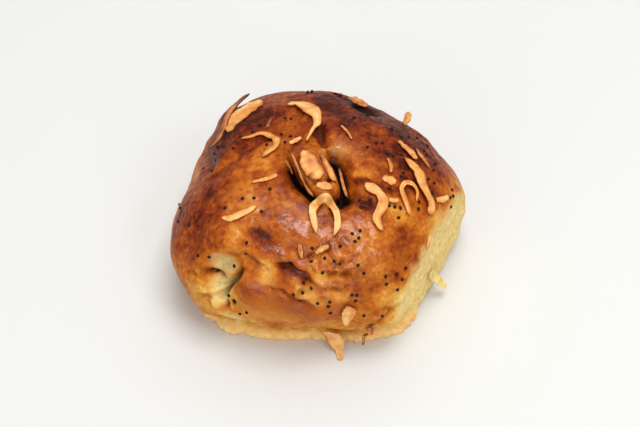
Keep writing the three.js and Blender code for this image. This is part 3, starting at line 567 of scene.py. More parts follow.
def smooth_directions(places, steps):
    q = direction([p[0] for p in places], [p[1] for p in places])
    q = np.vstack([2 * q[0] - q[1], q, 2 * q[-1] - q[-2]])
    out = []
    for i in range(1, len(q) - 2):
        for k in range(steps):
            out.append(blend(q[i - 1], q[i], q[i + 1], q[i + 2], k / steps))
    out.append(q[-2])
    return unit(np.array(out))


@functools.cache
def dome_path(places):
    return on_dome(smooth_directions(places, PATH_STEPS))


def marked_path(places):
    """The path on the dome, worked out once."""
    return dome_path(tuple(map(tuple, places)))


@functools.cache
def dome_place(azimuth, elevation):
    return on_dome(direction([azimuth], [elevation]))


def closeness(p, azimuth, elevation, radius):
    """One at a place on the dome, falling to nothing round it."""
    return np.exp(-np.sum((p - dome_place(azimuth, elevation)) ** 2, axis=1) / radius**2)


def spots_height(p, spots):
    """The sum of some round swellings."""
    return sum(height * closeness(p, az, el, radius) for az, el, radius, height in spots)


def closest(p, spots):
    """Closeness to the closest of some places."""
    return np.max([closeness(p, *spot) for spot in spots], axis=0)


def along(places, p, reach):
    """Distance to a path, share of its length there and side of it, for the points within reach."""
    path = marked_path(places)
    middle = path.mean(axis=0)
    limit = np.linalg.norm(path - middle, axis=1).max() + reach
    near = np.flatnonzero(np.linalg.norm(p - middle, axis=1) < limit)
    distance = np.full(len(p), FAR)
    share = np.zeros(len(p))
    side = np.zeros(len(p))
    if len(near) == 0:
        return distance, share, side
    step = path[1:] - path[:-1]
    length = np.linalg.norm(step, axis=1)
    start = np.concatenate([[0], np.cumsum(length)])
    off = p[near][:, None, :] - path[None, :-1]
    t = np.clip(np.einsum("nsk,sk->ns", off, step) / length**2, 0, 1)
    rest = off - t[..., None] * step
    gap = np.linalg.norm(rest, axis=2)
    best = np.argmin(gap, axis=1)
    row = np.arange(len(near))
    distance[near] = gap[row, best]
    share[near] = (start[best] + t[row, best] * length[best]) / start[-1]
    side[near] = np.sign(np.sum(np.cross(step[best], rest[row, best]) * p[near], axis=1))
    return distance, share, side


def fade(share):
    return ease(np.clip(np.minimum(share, 1 - share) / FADE_SHARE, 0, 1))


def trace(p, width, places):
    """One along a path, falling to nothing beside it and at its ends."""
    distance, share, _ = along(places, p, 3 * width)
    return np.exp(-((distance / width) ** 2)) * fade(share)


def hashed(i, j, k):
    a, b, c = HASH_WEIGHTS
    q = np.sin(i * a + j * b + k * c) * HASH_SCALE
    return 2 * (q - np.floor(q)) - 1


def noise(p):
    """Smooth unevenness between -1 and 1."""
    cell = np.floor(p)
    u = ease(p - cell)
    total = 0
    for a in (0, 1):
        for b in (0, 1):
            for c in (0, 1):
                weight = np.prod(np.where([a, b, c], u, 1 - u), axis=1)
                total = total + weight * hashed(cell[:, 0] + a, cell[:, 1] + b, cell[:, 2] + c)
    return total


def uneven(p, layers):
    """The sum of some layers of noise, each with its size, height and shift."""
    return sum(height * noise(p / size + shift) for size, height, shift in layers)


def wander(p, size, shifts):
    """A smooth shift in x, y and z."""
    return np.stack([noise(p / size + shift) for shift in shifts], -1)


def fold_height(p):
    bent = FOLD_WANDER * wander(p, FOLD_WANDER_SIZE, FOLD_WANDER_SHIFTS)
    fold = 1 - FOLD_SHARPNESS * np.abs(noise(p / FOLD_SIZE + FOLD_SHIFT + bent))
    return np.clip(fold, FOLD_DEEPEST, 1)


def swell(p, r):
    """The crust with its swellings, the knob and the overlaps."""
    r += spots_height(p, LOBES)
    for height, width, places in RIDGES:
        r += height * trace(p, width, places)
    height, width, places = KNOB
    distance, _, _ = along(places, p, 3 * width)
    knob = np.exp(-((distance / width) ** 3))
    r += height * knob
    for height, width, reach, places in OVERLAPS:
        distance, share, side = along(places, p, 3 * reach)
        step = 0.5 + 0.5 * np.tanh(side * distance / width)
        r += height * step * np.exp(-((distance / reach) ** 2)) * fade(share)
    return r


def cut_creases(p, r):
    """The crust with its creases and slits, and where painted shade darkens the creases and blackens the deep
    slits.
    """
    burnt = np.zeros(len(p))
    crack = np.zeros(len(p))
    for depth, width, places in CREASES:
        cut = trace(p, width, places)
        r -= depth * cut
        crack = np.maximum(crack, cut * min(depth / FULL_SHADE_DEPTH, 1))
        if depth > SHADED_SLIT_DEPTH and places[0][1] > SHADED_SLIT_ELEVATION:
            burnt = np.maximum(burnt, cut)
    return r, crack, burnt


def press_hollows(p, r, fine):
    """The crust with its round hollows, and where olive painted shade goes in them."""
    hollow = np.zeros(len(p))
    for az, el, radius, depth in HOLLOWS + (FINE_HOLLOWS if fine else []):
        near = closeness(p, az, el, radius)
        r -= depth * near
        if el < SHADED_HOLLOW_ELEVATION:
            hollow = np.maximum(hollow, near)
    return r, hollow


def wrinkle(p, r, fine):
    """The crust with its folds and bumps."""
    r += spots_height(p, WRINKLES) * fold_height(p)
    for size, height in BUMPS + (FINE_BUMPS if fine else []):
        r += height * noise(p / size + size)
    return r


def cut_torn_side(d, p, r, fine):
    """The crust cut off at the torn wall, and which of it is crumb and which paler."""
    rough = uneven(p, TORN_BUMPS + (FINE_TORN_BUMPS if fine else []))
    wall = (TORN_DISTANCE + rough) / np.maximum(d @ direction(TORN_AZIMUTH, 0), LEAST_FACING)
    torn = np.clip((r - wall) / TORN_FADE + 0.5, 0, 1)
    kissed = np.clip(1 + (r - wall) / KISSED_REACH, 0, 1) ** 2
    mix = np.clip(0.5 + 0.5 * (wall - r) / TORN_ROUNDING, 0, 1)
    r = wall * (1 - mix) + r * mix - TORN_ROUNDING * mix * (1 - mix)
    return r, torn, kissed


def hollow_hem(d, azimuth, r):
    """The crust drawn in between the front and its lip."""
    level = CORE_Z + d[:, 2] * r
    ends = ease(np.clip(np.minimum(azimuth - HEM_FROM, HEM_TO - azimuth) / HEM_FADE, 0, 1))
    return r - HEM_DEPTH * ends * np.exp(-(((level - HEM_HEIGHT) / HEM_HALF_HEIGHT) ** 2))


def add_lip(d, azimuth, p, r, fine):
    """The crust with the lip of crumb at its base, and which of it is lip."""
    edge = np.interp(azimuth, [q[0] for q in LIP], [q[1] for q in LIP], left=0, right=0)
    ragged = np.stack([azimuth / LIP_RAGGED_DEGREES, np.zeros(len(d)), np.zeros(len(d))], -1)
    edge = edge + LIP_RAGGED_HEIGHT * noise(ragged)
    if fine:
        edge = edge + LIP_FINE_HEIGHT * noise(ragged * LIP_FINER + LIP_FINE_SHIFT)
    edge = edge / np.maximum(np.hypot(d[:, 0], d[:, 1]), LEAST_LEVEL)
    height = CORE_Z + d[:, 2] * edge + uneven(p, LIP_BUMPS + (FINE_LIP_BUMPS if fine else []))
    below = np.clip((LIP_TOP - height) / LIP_TOP_SOFTNESS, 0, 1)
    lip = below * np.clip((edge - r) / LIP_ROOT_SOFTNESS, 0, 1)
    return r + lip * (edge - r), lip


def crust(d, fine=False):
    """Distance from the core to the crust, with what the material needs to know of each place."""
    r = dome_radius(d)
    p = d * r[:, None]
    r = swell(p, r)
    r, crack, burnt = cut_creases(p, r)
    r, hollow = press_hollows(p, r, fine)
    r = wrinkle(p, r, fine)
    r, torn, kissed = cut_torn_side(d, p, r, fine)
    azimuth = np.degrees(np.arctan2(d[:, 1], d[:, 0]))
    r = hollow_hem(d, azimuth, r)
    r, lip = add_lip(d, azimuth, p, r, fine)
    floor = CORE_Z / np.maximum(-d[:, 2], 1e-6)
    r = np.where(d[:, 2] < 0, np.minimum(r, floor), r)
    return r, dict(burnt=burnt, crack=crack, hollow=hollow, torn=torn, kissed=kissed, lip=lip)


def crust_point(d, lift=0.0, fine=False):
    return d * (crust(d, fine)[0] + lift)[:, None] + CORE


def crust_normal(d):
    side = unit(np.stack([-d[:, 1], d[:, 0], np.zeros(len(d))], -1))
    up = np.cross(d, side)
    across = crust_point(unit(d + NORMAL_REACH * side)) - crust_point(unit(d - NORMAL_REACH * side))
    rise = crust_point(unit(d + NORMAL_REACH * up)) - crust_point(unit(d - NORMAL_REACH * up))
    normal = unit(np.cross(across, rise))
    return np.where(np.sum(normal * d, axis=1, keepdims=True) < 0, -normal, normal)


def fine_ball(detail):
    """Directions and triangles of an evenly divided ball, denser on one side."""
    g = (1 + 5**0.5) / 2  # the golden ratio
    corners = np.array(
        [[-1, g, 0], [1, g, 0], [-1, -g, 0], [1, -g, 0], [0, -1, g], [0, 1, g]]
        + [[0, -1, -g], [0, 1, -g], [g, 0, -1], [g, 0, 1], [-g, 0, -1], [-g, 0, 1]]
    )
    faces = [[0, 11, 5], [0, 5, 1], [0, 1, 7], [0, 7, 10], [0, 10, 11], [1, 5, 9], [5, 11, 4]]
    faces += [[11, 10, 2], [10, 7, 6], [7, 1, 8], [3, 9, 4], [3, 4, 2], [3, 2, 6], [3, 6, 8]]
    faces += [[3, 8, 9], [4, 9, 5], [2, 4, 11], [6, 2, 10], [8, 6, 7], [9, 8, 1]]
    n = detail + 1
    rows = [(i, j) for i in range(n + 1) for j in range(n + 1 - i)]
    place = {ij: k for k, ij in enumerate(rows)}
    weights = np.array([[n - i - j, i, j] for i, j in rows]) / n
    local = []
    for i in range(n):
        for j in range(n - i):
            local.append([place[i, j], place[i + 1, j], place[i, j + 1]])
            if i + j < n - 1:
                local.append([place[i + 1, j], place[i + 1, j + 1], place[i, j + 1]])
    points = np.vstack([weights @ corners[face] for face in faces])
    triangles = np.vstack([np.array(local) + k * len(rows) for k in range(len(faces))])
    points = unit(points)
    _, first, inverse = np.unique(np.round(points, 6), axis=0, return_index=True, return_inverse=True)
    return unit(points[first] + DENSER_SIDE), inverse.reshape(-1)[triangles]


def make_object(name, points, faces, **values):
    """A mesh object in metres, with a number at each vertex for every keyword."""
    mesh = bpy.data.meshes.new(name)
    mesh.from_pydata((np.asarray(points) * MM).tolist(), [], [list(map(int, face)) for face in faces])
    for key, numbers in values.items():
        layer = mesh.attributes.new(key, "FLOAT", "POINT")
        layer.data.foreach_set("value", np.asarray(numbers, np.float32))
    mesh.validate()
    mesh.shade_smooth()
    obj = bpy.data.objects.new(name, mesh)
    bpy.context.scene.collection.objects.link(obj)
    return obj


# Node helpers for the materials


def new_material(name):
    material = bpy.data.materials.new(name)
    material.use_nodes = True
    tree = material.node_tree
    return material, tree, tree.nodes["Principled BSDF"]


def socket(tree, target, value):
    if isinstance(value, bpy.types.NodeSocket):
        tree.links.new(value, target)
    else:
        target.default_value = value


def math_node(tree, operation, a, b=0.0, clamp=False):
    node = tree.nodes.new("ShaderNodeMath")
    node.operation = operation
    node.use_clamp = clamp
    socket(tree, node.inputs[0], a)
    socket(tree, node.inputs[1], b)
    return node.outputs[0]


def noise_node(tree, scale, detail=3.0, roughness=0.55, stretch=(1, 1, 1), distortion=0.0):
    coordinates = tree.nodes.new("ShaderNodeTexCoord")
    mapping = tree.nodes.new("ShaderNodeMapping")
    mapping.inputs["Scale"].default_value = stretch
    tree.links.new(coordinates.outputs["Object"], mapping.inputs["Vector"])
    node = tree.nodes.new("ShaderNodeTexNoise")
    node.inputs["Scale"].default_value = scale
    node.inputs["Detail"].default_value = detail
    node.inputs["Roughness"].default_value = roughness
    node.inputs["Distortion"].default_value = distortion
    tree.links.new(mapping.outputs["Vector"], node.inputs["Vector"])
    return node.outputs["Fac"]


def attribute_node(tree, name):
    node = tree.nodes.new("ShaderNodeAttribute")
    node.attribute_name = name
    return node.outputs["Fac"]


def ramp_node(tree, value, stops):
    node = tree.nodes.new("ShaderNodeValToRGB")
    elements = node.color_ramp.elements
    while len(elements) < len(stops):
        elements.new(0.5)
    for element, (position, colour) in zip(elements, stops):
        element.position = position
        element.color = (*colour, 1)
    tree.links.new(value, node.inputs["Fac"])
    return node.outputs["Color"]


def mix_node(tree, factor, a, b):
    node = tree.nodes.new("ShaderNodeMix")
    node.data_type = "RGBA"
    socket(tree, node.inputs[0], factor)
    socket(tree, node.inputs[6], a if isinstance(a, bpy.types.NodeSocket) else (*a, 1))
    socket(tree, node.inputs[7], b if isinstance(b, bpy.types.NodeSocket) else (*b, 1))
    return node.outputs[2]


def range_node(tree, value, low, high, to_low=0.0, to_high=1.0):
    node = tree.nodes.new("ShaderNodeMapRange")
    tree.links.new(value, node.inputs["Value"])
    for key, number in zip(("From Min", "From Max", "To Min", "To Max"), (low, high, to_low, to_high)):
        node.inputs[key].default_value = number
    return node.outputs["Result"]


def bump(tree, shader, height, strength, distance, target="Normal"):
    node = tree.nodes.new("ShaderNodeBump")
    node.inputs["Strength"].default_value = strength
    node.inputs["Distance"].default_value = distance
    tree.links.new(height, node.inputs["Height"])
    tree.links.new(node.outputs["Normal"], shader.inputs[target])


def mix_value(tree, factor, a, b):
    node = tree.nodes.new("ShaderNodeMix")
    node.data_type = "FLOAT"
    socket(tree, node.inputs[0], factor)
    socket(tree, node.inputs[2], a)
    socket(tree, node.inputs[3], b)
    return node.outputs[0]


def spot_node(tree, scale, reach):
    """Small round spots that fade out from half their reach."""
    coordinates = tree.nodes.new("ShaderNodeTexCoord")
    node = tree.nodes.new("ShaderNodeTexVoronoi")
    node.inputs["Scale"].default_value = scale
    tree.links.new(coordinates.outputs["Object"], node.inputs["Vector"])
    return range_node(tree, node.outputs["Distance"], low=reach, high=reach / 2)


def swing(tree, value, gain):
    """A noise that goes up and down from nought, times a gain."""
    return math_node(tree, "MULTIPLY", math_node(tree, "SUBTRACT", value, 0.5), gain)


def add_share(tree, a, b, share, clamp=False):
    """The first value with a share of the second one added."""
    return math_node(tree, "ADD", a, math_node(tree, "MULTIPLY", b, share), clamp)


def set_inputs(shader, **values):
    """Numbers and colours that are the same all over, with _ for each space in a socket's name."""
    for name, value in values.items():
        shader.inputs[name.replace("_", " ")].default_value = value


# Colours, from the palest to the darkest browning
BAKE_COLOURS = [
    (0.00, (0.780, 0.560, 0.200)),
    (0.16, (0.700, 0.390, 0.080)),
    (0.35, (0.590, 0.225, 0.028)),
    (0.55, (0.440, 0.107, 0.009)),
    (0.75, (0.250, 0.042, 0.005)),
    (0.90, (0.150, 0.018, 0.004)),
    (1.00, (0.060, 0.009, 0.004)),
]
CRUMB_PALE = (0.870, 0.670, 0.290)
CRUMB_SHADE = (0.700, 0.480, 0.150)
LIP_PALE = (1.000, 0.650, 0.260)
LIP_SHADE = (0.860, 0.490, 0.150)
# Olive painted shade in the low hollows
HOLLOW_SHADE = (0.300, 0.230, 0.085)
# Painted shade that darkens the creases
CREASE_SHADE = (0.075, 0.018, 0.006)
# Black painted shade in deep slits and holes
DEEP_SHADE = (0.012, 0.005, 0.004)
ONION_COLOURS = [
    (0.00, (0.830, 0.500, 0.180)),
    (0.25, (0.740, 0.320, 0.075)),
    (0.50, (0.560, 0.185, 0.035)),
    (0.75, (0.240, 0.058, 0.012)),
    (1.00, (0.040, 0.012, 0.007)),
]
SEED_COLOUR = (0.016, 0.010, 0.007)
SEED_SHEEN = (0.022, 0.018, 0.018)
FLOOR_COLOUR = (0.690, 0.700, 0.688)
FLOOR_SHADE = tuple(0.985 * c for c in FLOOR_COLOUR)

# Painted shade in hollows, creases and deep slits: attribute, values where it starts and is full, colour
TINTS = [
    ("hollow", 0.3, 1.3, HOLLOW_SHADE),
    ("crack", 0.45, 1.1, CREASE_SHADE),
    ("burnt", 0.42, 0.78, DEEP_SHADE),
]

# How much the patches, the speckle and the blisters change the browning
PATCH_GAIN = 0.78
SPECKLE_GAIN = 0.70
BLISTER_GAIN = -0.12

# Share of the crust's roughness where it is wet, roughness of crumb, coat where it is dry
WET_ROUGHNESS = 0.6
CRUMB_ROUGHNESS = 0.8
DRY_COAT = 0.04
CRUMB_RELIEF = 0.45  # share of the relief that crumb keeps


def crust_colour(tree, crumb, speckle, blisters):
    patches = swing(tree, noise_node(tree, scale=150, detail=4), PATCH_GAIN)
    fine = swing(tree, speckle, SPECKLE_GAIN)
    calm = attribute_node(tree, "calm")
    mottling = mix_value(tree, calm, math_node(tree, "ADD", patches, fine), 0.0)
    level = math_node(tree, "ADD", attribute_node(tree, "bake"), mottling)
    brown = ramp_node(tree, add_share(tree, level, blisters, BLISTER_GAIN, clamp=True), BAKE_COLOURS)
    pale = mix_node(tree, range_node(tree, speckle, low=0.35, high=0.62), CRUMB_SHADE, CRUMB_PALE)
    edge = add_share(tree, crumb, fine, share=0.8)
    colour = mix_node(tree, range_node(tree, edge, low=0.20, high=0.75), brown, pale)
    flaky = mix_node(tree, range_node(tree, speckle, low=0.36, high=0.62), LIP_SHADE, LIP_PALE)
    lip = range_node(tree, attribute_node(tree, "lip"), low=0.2, high=0.9)
    colour = mix_node(tree, lip, colour, flaky)
    # Painted shade: olive in the low hollows, dark in the creases, black in deep slits and holes
    for name, low, high, tint in TINTS:
        colour = mix_node(tree, range_node(tree, attribute_node(tree, name), low, high), colour, tint)
    return colour


def crust_gloss(tree, shader, crumb, speckle):
    """Dull crust and duller crumb, with a broken coat of egg wash on the wet places."""
    wet = attribute_node(tree, "wet")
    dry = range_node(tree, speckle, low=0.3, high=0.7, to_low=0.36, to_high=0.56)
    rough = mix_value(tree, wet, dry, math_node(tree, "MULTIPLY", dry, WET_ROUGHNESS))
    tree.links.new(mix_value(tree, crumb, rough, CRUMB_ROUGHNESS), shader.inputs["Roughness"])
    film = range_node(tree, noise_node(tree, scale=260, detail=3), low=0.34, high=0.50)
    coat = mix_value(tree, math_node(tree, "MULTIPLY", wet, film), DRY_COAT, 1.0)
    bare = range_node(tree, crumb, low=0.0, high=0.6)
    tree.links.new(mix_value(tree, bare, coat, 0.0), shader.inputs["Coat Weight"])
    set_inputs(shader, Specular_IOR_Level=0.10, Specular_Tint=(1.0, 0.62, 0.38, 1), Coat_Roughness=0.11)


def crust_relief(tree, shader, crumb, speckle, blisters):
    grain = noise_node(tree, scale=1900, detail=3)
    relief = add_share(tree, speckle, grain, share=0.35)
    relief = add_share(tree, relief, blisters, share=0.3)
    relief = math_node(tree, "MULTIPLY", relief, mix_value(tree, crumb, 1.0, CRUMB_RELIEF))
    bump(tree, shader, relief, strength=0.7, distance=0.0005)
    bump(tree, shader, relief, strength=0.22, distance=0.0004, target="Coat Normal")


def crust_material():
    material, tree, shader = new_material("baked crust")
    crumb = attribute_node(tree, "crumb")
    speckle = noise_node(tree, scale=560, detail=4, roughness=0.6, stretch=(1, 1, 1.2), distortion=0.5)
    blisters = spot_node(tree, scale=620, reach=0.20)
    tree.links.new(crust_colour(tree, crumb, speckle, blisters), shader.inputs["Base Color"])
    crust_gloss(tree, shader, crumb, speckle)
    crust_relief(tree, shader, crumb, speckle, blisters)
    return material


def onion_material():
    material, tree, shader = new_material("toasted onion")
    streaks = noise_node(tree, scale=420, detail=3, roughness=0.5)
    toast = math_node(tree, "ADD", attribute_node(tree, "toast"), swing(tree, streaks, gain=0.6), True)
    tree.links.new(ramp_node(tree, toast, ONION_COLOURS), shader.inputs["Base Color"])
    set_inputs(shader, Roughness=0.5, Specular_IOR_Level=0.4)
    set_inputs(shader, Subsurface_Weight=0.12, Subsurface_Radius=(1.0, 0.5, 0.2), Subsurface_Scale=0.0008)
    bump(tree, shader, streaks, strength=0.5, distance=0.0003)
    return material


def seed_material():
    material, tree, shader = new_material("poppy seed")
    spots = noise_node(tree, scale=2500, detail=2)
    colour = mix_node(tree, range_node(tree, spots, low=0.4, high=0.7), SEED_COLOUR, SEED_SHEEN)
    tree.links.new(colour, shader.inputs["Base Color"])
    set_inputs(shader, Roughness=0.6, Specular_IOR_Level=0.12)
    bump(tree, shader, spots, strength=0.5, distance=0.0002)
    return material


def floor_material():
    material, tree, shader = new_material("pale table")
    cloud = noise_node(tree, scale=3, detail=2)
    tree.links.new(mix_node(tree, cloud, FLOOR_COLOUR, FLOOR_SHADE), shader.inputs["Base Color"])
    set_inputs(shader, Roughness=0.75, Specular_IOR_Level=0.2)
    return material


# The dough


def upright_streaks(d):
    azimuth = np.degrees(np.arctan2(d[:, 1], d[:, 0]))
    elevation = np.degrees(np.arcsin(d[:, 2]))
    across = azimuth / UPRIGHT_WIDTH * np.cos(np.radians(elevation))
    return noise(np.stack([across, elevation / UPRIGHT_LENGTH, np.zeros(len(d))], -1))


def browning(d, p, height, marks, calm):
    """How far each place is baked, from 0 to 1."""
    bake = BAKE_BASE + BAKE_RISE * ease(np.clip((height - BAKE_RISE_START) / BAKE_RISE_LENGTH, 0, 1))
    bake += spots_height(p, BAKE_SPOTS)
    bake += (1 - calm) * (uneven(p, BLOTCHES) + UPRIGHT_CHANGE * upright_streaks(d))
    bent = p + STREAK_WANDER * wander(p, STREAK_BENDS, STREAK_SHIFTS)
    for change, width, places in STREAKS:
        bake += change * trace(bent, width, places)
    foot = 1 - ease(np.clip(height / FOOT_HEIGHT, 0, 1))
    # Darker browning in the creases is painted shade
    bake += CREASE_SHADE_BAKE * marks["crack"] - FOOT_BAKE * foot
    bake -= KISSED_BAKE * marks["kissed"] + LIP_BAKE * marks["lip"]
    return np.clip(bake, 0, 1)


def make_dough(material):
    d, faces = fine_ball(DOUGH_DETAIL)
    r, marks = crust(d, fine=True)
    points = d * r[:, None] + CORE
    points[:, 2] = np.maximum(points[:, 2], 0)
    p = on_dome(d)
    calm = CALM * closest(p, CALM_SPOTS)
    crumb = marks["torn"]
    # the last crumb spot is painted sheen on the shoulder
    for az, el, radius, amount in CRUMB_SPOTS:
        crumb = np.maximum(crumb, amount * closeness(p, az, el, radius))
    obj = make_object(
        "bread_dough",
        points,
        faces,
        bake=browning(d, p, points[:, 2], marks, calm),
        crumb=np.clip(crumb, 0, 1),
        # black painted shade in deep slits and holes
        burnt=np.maximum(marks["burnt"], closest(p, DEEP_SHADE_SPOTS)),
        # painted shade in the creases
        crack=np.clip(marks["crack"], 0, 1),
        lip=marks["lip"],
        # olive painted shade in the low hollows
        hollow=np.clip(marks["hollow"], 0, 1),
        wet=closest(p, WET_SPOTS),
        calm=calm,
    )
    obj.data.materials.append(material)
    return obj


# The onion shreds


def spread(values, reach):
    """The largest value within reach, averaged, so that the result is never below the value itself."""
    window = np.lib.stride_tricks.sliding_window_view
    largest = window(np.pad(values, 2 * reach, mode="edge"), 2 * reach + 1).max(axis=1)
    return window(largest, 2 * reach + 1).mean(axis=1)


def shred_line(path, u):
    """Directions to the shares u of a path."""
    line = smooth_directions(path, SHRED_STEPS)
    place = u * (len(line) - 1)
    i = np.minimum(place.astype(int), len(line) - 2)
    return unit(line[i] + (line[i + 1] - line[i]) * (place - i)[:, None])


def shred_axes(centre, d, turn):
    """The directions across and up at each section, turned about the shred's length."""
    tangent = unit(np.gradient(centre, axis=0))
    across = unit(np.cross(unit(crust_normal(d) + d), tangent))
    up = np.cross(tangent, across)
    return np.cos(turn) * across + np.sin(turn) * up, np.cos(turn) * up - np.sin(turn) * across


def shred_section(cup):
    """The corners of a section, from -1 to 1 across and about as far up."""
    turns = np.linspace(0, 2 * np.pi, SHRED_CORNERS + 1)[:-1]
    flat = np.sign(np.cos(turns)) * np.abs(np.cos(turns)) ** SECTION_POWER
    return flat, SECTION_HEIGHT * np.sin(turns) + cup * (flat**2 - SECTION_CURL_LEVEL)


def clear_crust(ring, d):
    """The sections moved out so far that their lower corners clear the crust."""
    corners = ring.reshape(-1, 3) - CORE
    reach = np.linalg.norm(corners, axis=1)
    short = (crust(unit(corners))[0] + SHRED_GAP - reach).reshape(ring.shape[:2])
    lower = short[:, SHRED_CORNERS // 2 :].max(axis=1)
    need = spread(np.clip(lower, 0, None), SHRED_SMOOTHING)
    return ring + need[:, None, None] * d[:, None]


def shred_faces(count):
    faces = []
    corners = list(range(SHRED_CORNERS))
    for start in range(0, (count - 1) * SHRED_CORNERS, SHRED_CORNERS):
        for k in corners:
            beside = (k + 1) % SHRED_CORNERS
            after = start + SHRED_CORNERS
            faces.append([start + k, start + beside, after + beside, after + k])
    faces.append(corners[::-1])
    faces.append([(count - 1) * SHRED_CORNERS + k for k in corners])
    return faces


def shred_toast(toast, u, flat, key, seed):
    """Toasting from 0 to 1, darker at the tips and edges, with fibres along the shred."""
    tip = np.clip(1 - np.minimum(u, 1 - u) / TIP_SHARE, 0, 1)
    level = toast + TIP_TOAST * tip**2 + BLOTCH_TOAST * noise(key * BLOTCH_WAVES + BLOTCH_SHIFT)
    edge = EDGE_TOAST * np.abs(flat) ** EDGE_TOAST_POWER
    sides, lengths = np.meshgrid(FIBRES_ACROSS * flat, FIBRES_ALONG * u)
    fibres = noise(np.stack([sides.ravel() + seed, lengths.ravel(), np.full(sides.size, seed)], -1))
    level = level[:, None] + edge[None] + FIBRE_TOAST * fibres.reshape(sides.shape)
    return np.clip(level, 0, 1).reshape(-1)


def shred_mesh(path, width, seed, toast=0.0, lift=(0, 0), thick=SHRED_THICKNESS, lean=0.0, cup=SHRED_CUP):
    count = SHRED_SECTIONS + SHRED_SECTIONS_EACH * len(path)
    u = np.linspace(0, 1, count)
    d = shred_line(path, u)
    centre = crust_point(d, list_value(lift, u) + SHRED_GAP + thick / 2)
    key = np.stack([u * SHRED_WAVES + seed, np.full(count, seed * SHRED_WAVE_SHIFT), np.zeros(count)], -1)
    widening = 1 + sum(height * noise(key * waves) for waves, height in WIDTH_WAVES)
    turn = (lean + TWIST * noise(key + TWIST_SHIFT))[:, None]
    across, up = shred_axes(centre, d, turn)
    flat, tall = shred_section(cup)
    ends = np.sqrt(np.clip(np.minimum(u, 1 - u) / END_SHARE, END_LEAST, 1))
    half_width = list_value(width, u) / 2 * widening * ends
    half_height = thick / 2 * (END_THICKNESS + (1 - END_THICKNESS) * ends)
    ring = (
        centre[:, None]
        + half_width[:, None, None] * flat[None, :, None] * across[:, None]
        + half_height[:, None, None] * tall[None, :, None] * up[:, None]
    )
    rough = noise(ring.reshape(-1, 3) / SHRED_BUMP_SIZE + seed).reshape(count, SHRED_CORNERS, 1)
    ring = clear_crust(ring + SHRED_BUMP_HEIGHT * rough * up[:, None], d)
    ring[..., 2] = np.maximum(ring[..., 2], SHRED_FLOOR_GAP)
    return ring.reshape(-1, 3), shred_faces(count), shred_toast(toast, u, flat, key, seed)


def make_shreds(crumb):
    onion = onion_material()
    for number, (name, shred) in enumerate(SHREDS.items()):
        points, faces, toast = shred_mesh(seed=number * SHRED_SHIFT, **shred)
        is_crumb = name.startswith("crumb")
        obj = make_object(name + "_fine", points, faces, toast=toast, crumb=np.full(len(points), is_crumb))
        obj.data.materials.append(crumb if is_crumb else onion)
        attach(obj, "root")
        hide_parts(name)


# The poppy seeds


class Random:
    """The same simple random numbers as in the solid model."""

    factor = 16807
    modulus = 2147483647

    def __init__(self, start):
        self.state = start

    def __call__(self):
        self.state = self.state * self.factor % self.modulus
        return self.state / self.modulus


def shred_keep_out():
    """Points along every shred's middle, each with the distance that seeds keep from it."""
    lines = []
    for shred in SHREDS.values():
        line = smooth_directions(shred["path"], PATH_STEPS)
        share = np.linspace(0, 1, len(line))
        lines.append((crust_point(line), list_value(shred["width"], share) / 2 + SEED_TO_SHRED))
    return np.vstack([a for a, _ in lines]), np.concatenate([b for _, b in lines])


def seed_places():
    random = Random(SEED_START)
    lines, distances = shred_keep_out()
    kept = []
    for azimuth, elevation, degrees, count in SEED_CLUSTERS:
        middle = direction(azimuth, elevation)
        side = unit(np.array([-middle[1], middle[0], 0]))
        up = np.cross(middle, side)
        reach = math.radians(degrees) * CLUSTER_REACH
        placed = 0
        tries = 0
        while placed < count and tries < SEED_TRIES:
            tries += 1
            a = (random() + random() - 1) * reach
            b = (random() + random() - 1) * reach
            d = unit(middle + a * side + b * up)
            p = crust_point(d[None])[0]
            if any(np.linalg.norm(q - p) < SEED_SPACING for _, q, _ in kept):
                continue
            if np.any(np.linalg.norm(lines - p, axis=1) < distances):
                continue
            kept.append((d, p, random() * math.pi))
            placed += 1
    return kept


def seed_shape():
    """Points and triangles of a seed one unit in half width, with a hollow on one side."""
    ball, triangles = fine_ball(SEED_DETAIL)
    dent = SEED_DENT * np.clip(ball[:, 1:2], 0, 1) * (1 - np.abs(ball[:, 0:1]))
    return ball * np.array([SEED_LENGTH, 1.0, SEED_HEIGHT]) * (1 - dent), triangles


def make_seeds():
    shape, triangles = seed_shape()
    points = []
    faces = []
    for d, _, turn in seed_places():
        at = crust_point(d[None], SEED_RISE, fine=True)[0]
        side = unit(np.cross(d, SEED_TURN_AXIS))
        along_seed = math.cos(turn) * side + math.sin(turn) * np.cross(d, side)
        across_seed = np.cross(d, along_seed)
        faces.append(triangles + sum(len(q) for q in points))
        points.append(at + SEED_RADIUS * shape @ np.array([along_seed, across_seed, d]))
    obj = make_object("poppy_seeds", np.vstack(points), np.vstack(faces))
    obj.data.materials.append(seed_material())
    return obj


# The stage

FLOOR_HALF = 3000.0
WORLD_COLOUR = (1.0, 0.975, 0.94, 1)
WORLD_STRENGTH = 0.50

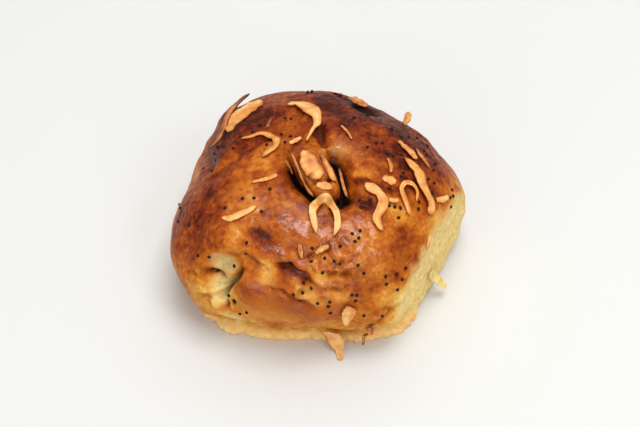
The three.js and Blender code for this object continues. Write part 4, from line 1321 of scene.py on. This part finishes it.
# Area lights, in metres and watts: name, place, target, size, power
LIGHTS = [
    ("top softbox", (0.12, -0.04, 1.00), (0, 0, 0), (0.52, 0.52), 6.4),
    ("side softbox", (0.50, -0.47, 0.82), (0, 0, 0), (0.22, 0.22), 1.1),
    ("low side softbox", (0.42, -0.86, 0.50), (0, 0, 0), (0.20, 0.20), 0.8),
    ("back softbox", (0.10, 0.80, 1.15), (0, 0.15, 0), (1.20, 0.70), 3.4),
    ("front fill", (-0.55, -1.00, 0.42), (0, 0, 0.02), (1.20, 0.60), 3.4),
]

# The camera, with its places in metres and its lens in millimetres
VIEW_TARGET = (0.0, -0.00295, 0.021)
VIEW_ELEVATION = 50
VIEW_DISTANCE = 0.415
VIEW_LENS = 70
VIEW_SENSOR = 36
VIEW_NEAREST = 0.01


def make_stage():
    corners = [[x * FLOOR_HALF, y * FLOOR_HALF, 0] for x, y in ((-1, -1), (1, -1), (1, 1), (-1, 1))]
    floor = make_object("table", corners, [[0, 1, 2, 3]])
    floor.data.materials.append(floor_material())


def aim(obj, place, target):
    obj.location = place
    obj.rotation_euler = (Vector(target) - Vector(place)).to_track_quat("-Z", "Y").to_euler()


def add_area(name, place, target, size, power):
    light = bpy.data.lights.new(name, "AREA")
    light.shape = "RECTANGLE"
    light.size, light.size_y = size
    light.energy = power
    obj = bpy.data.objects.new(name, light)
    bpy.context.scene.collection.objects.link(obj)
    aim(obj, place, target)


def make_lights():
    world = bpy.data.worlds.new("soft room")
    world.use_nodes = True
    background = world.node_tree.nodes["Background"]
    set_inputs(background, Color=WORLD_COLOUR, Strength=WORLD_STRENGTH)
    bpy.context.scene.world = world
    for light in LIGHTS:
        add_area(*light)


def make_camera():
    camera = bpy.data.objects.new("camera", bpy.data.cameras.new("camera"))
    camera.data.lens = VIEW_LENS
    camera.data.sensor_width = VIEW_SENSOR
    camera.data.clip_start = VIEW_NEAREST
    elevation = math.radians(VIEW_ELEVATION)
    place = Vector(VIEW_TARGET) + VIEW_DISTANCE * Vector((0, -math.cos(elevation), math.sin(elevation)))
    aim(camera, place, VIEW_TARGET)
    bpy.context.scene.collection.objects.link(camera)
    bpy.context.scene.camera = camera


make_camera()
make_lights()
make_stage()
bpy.context.scene.view_settings.view_transform = "Standard"
crust_look = crust_material()
for piece in (make_dough(crust_look), make_seeds()):
    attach(piece, "root")
    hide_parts("roll")
make_shreds(crust_look)
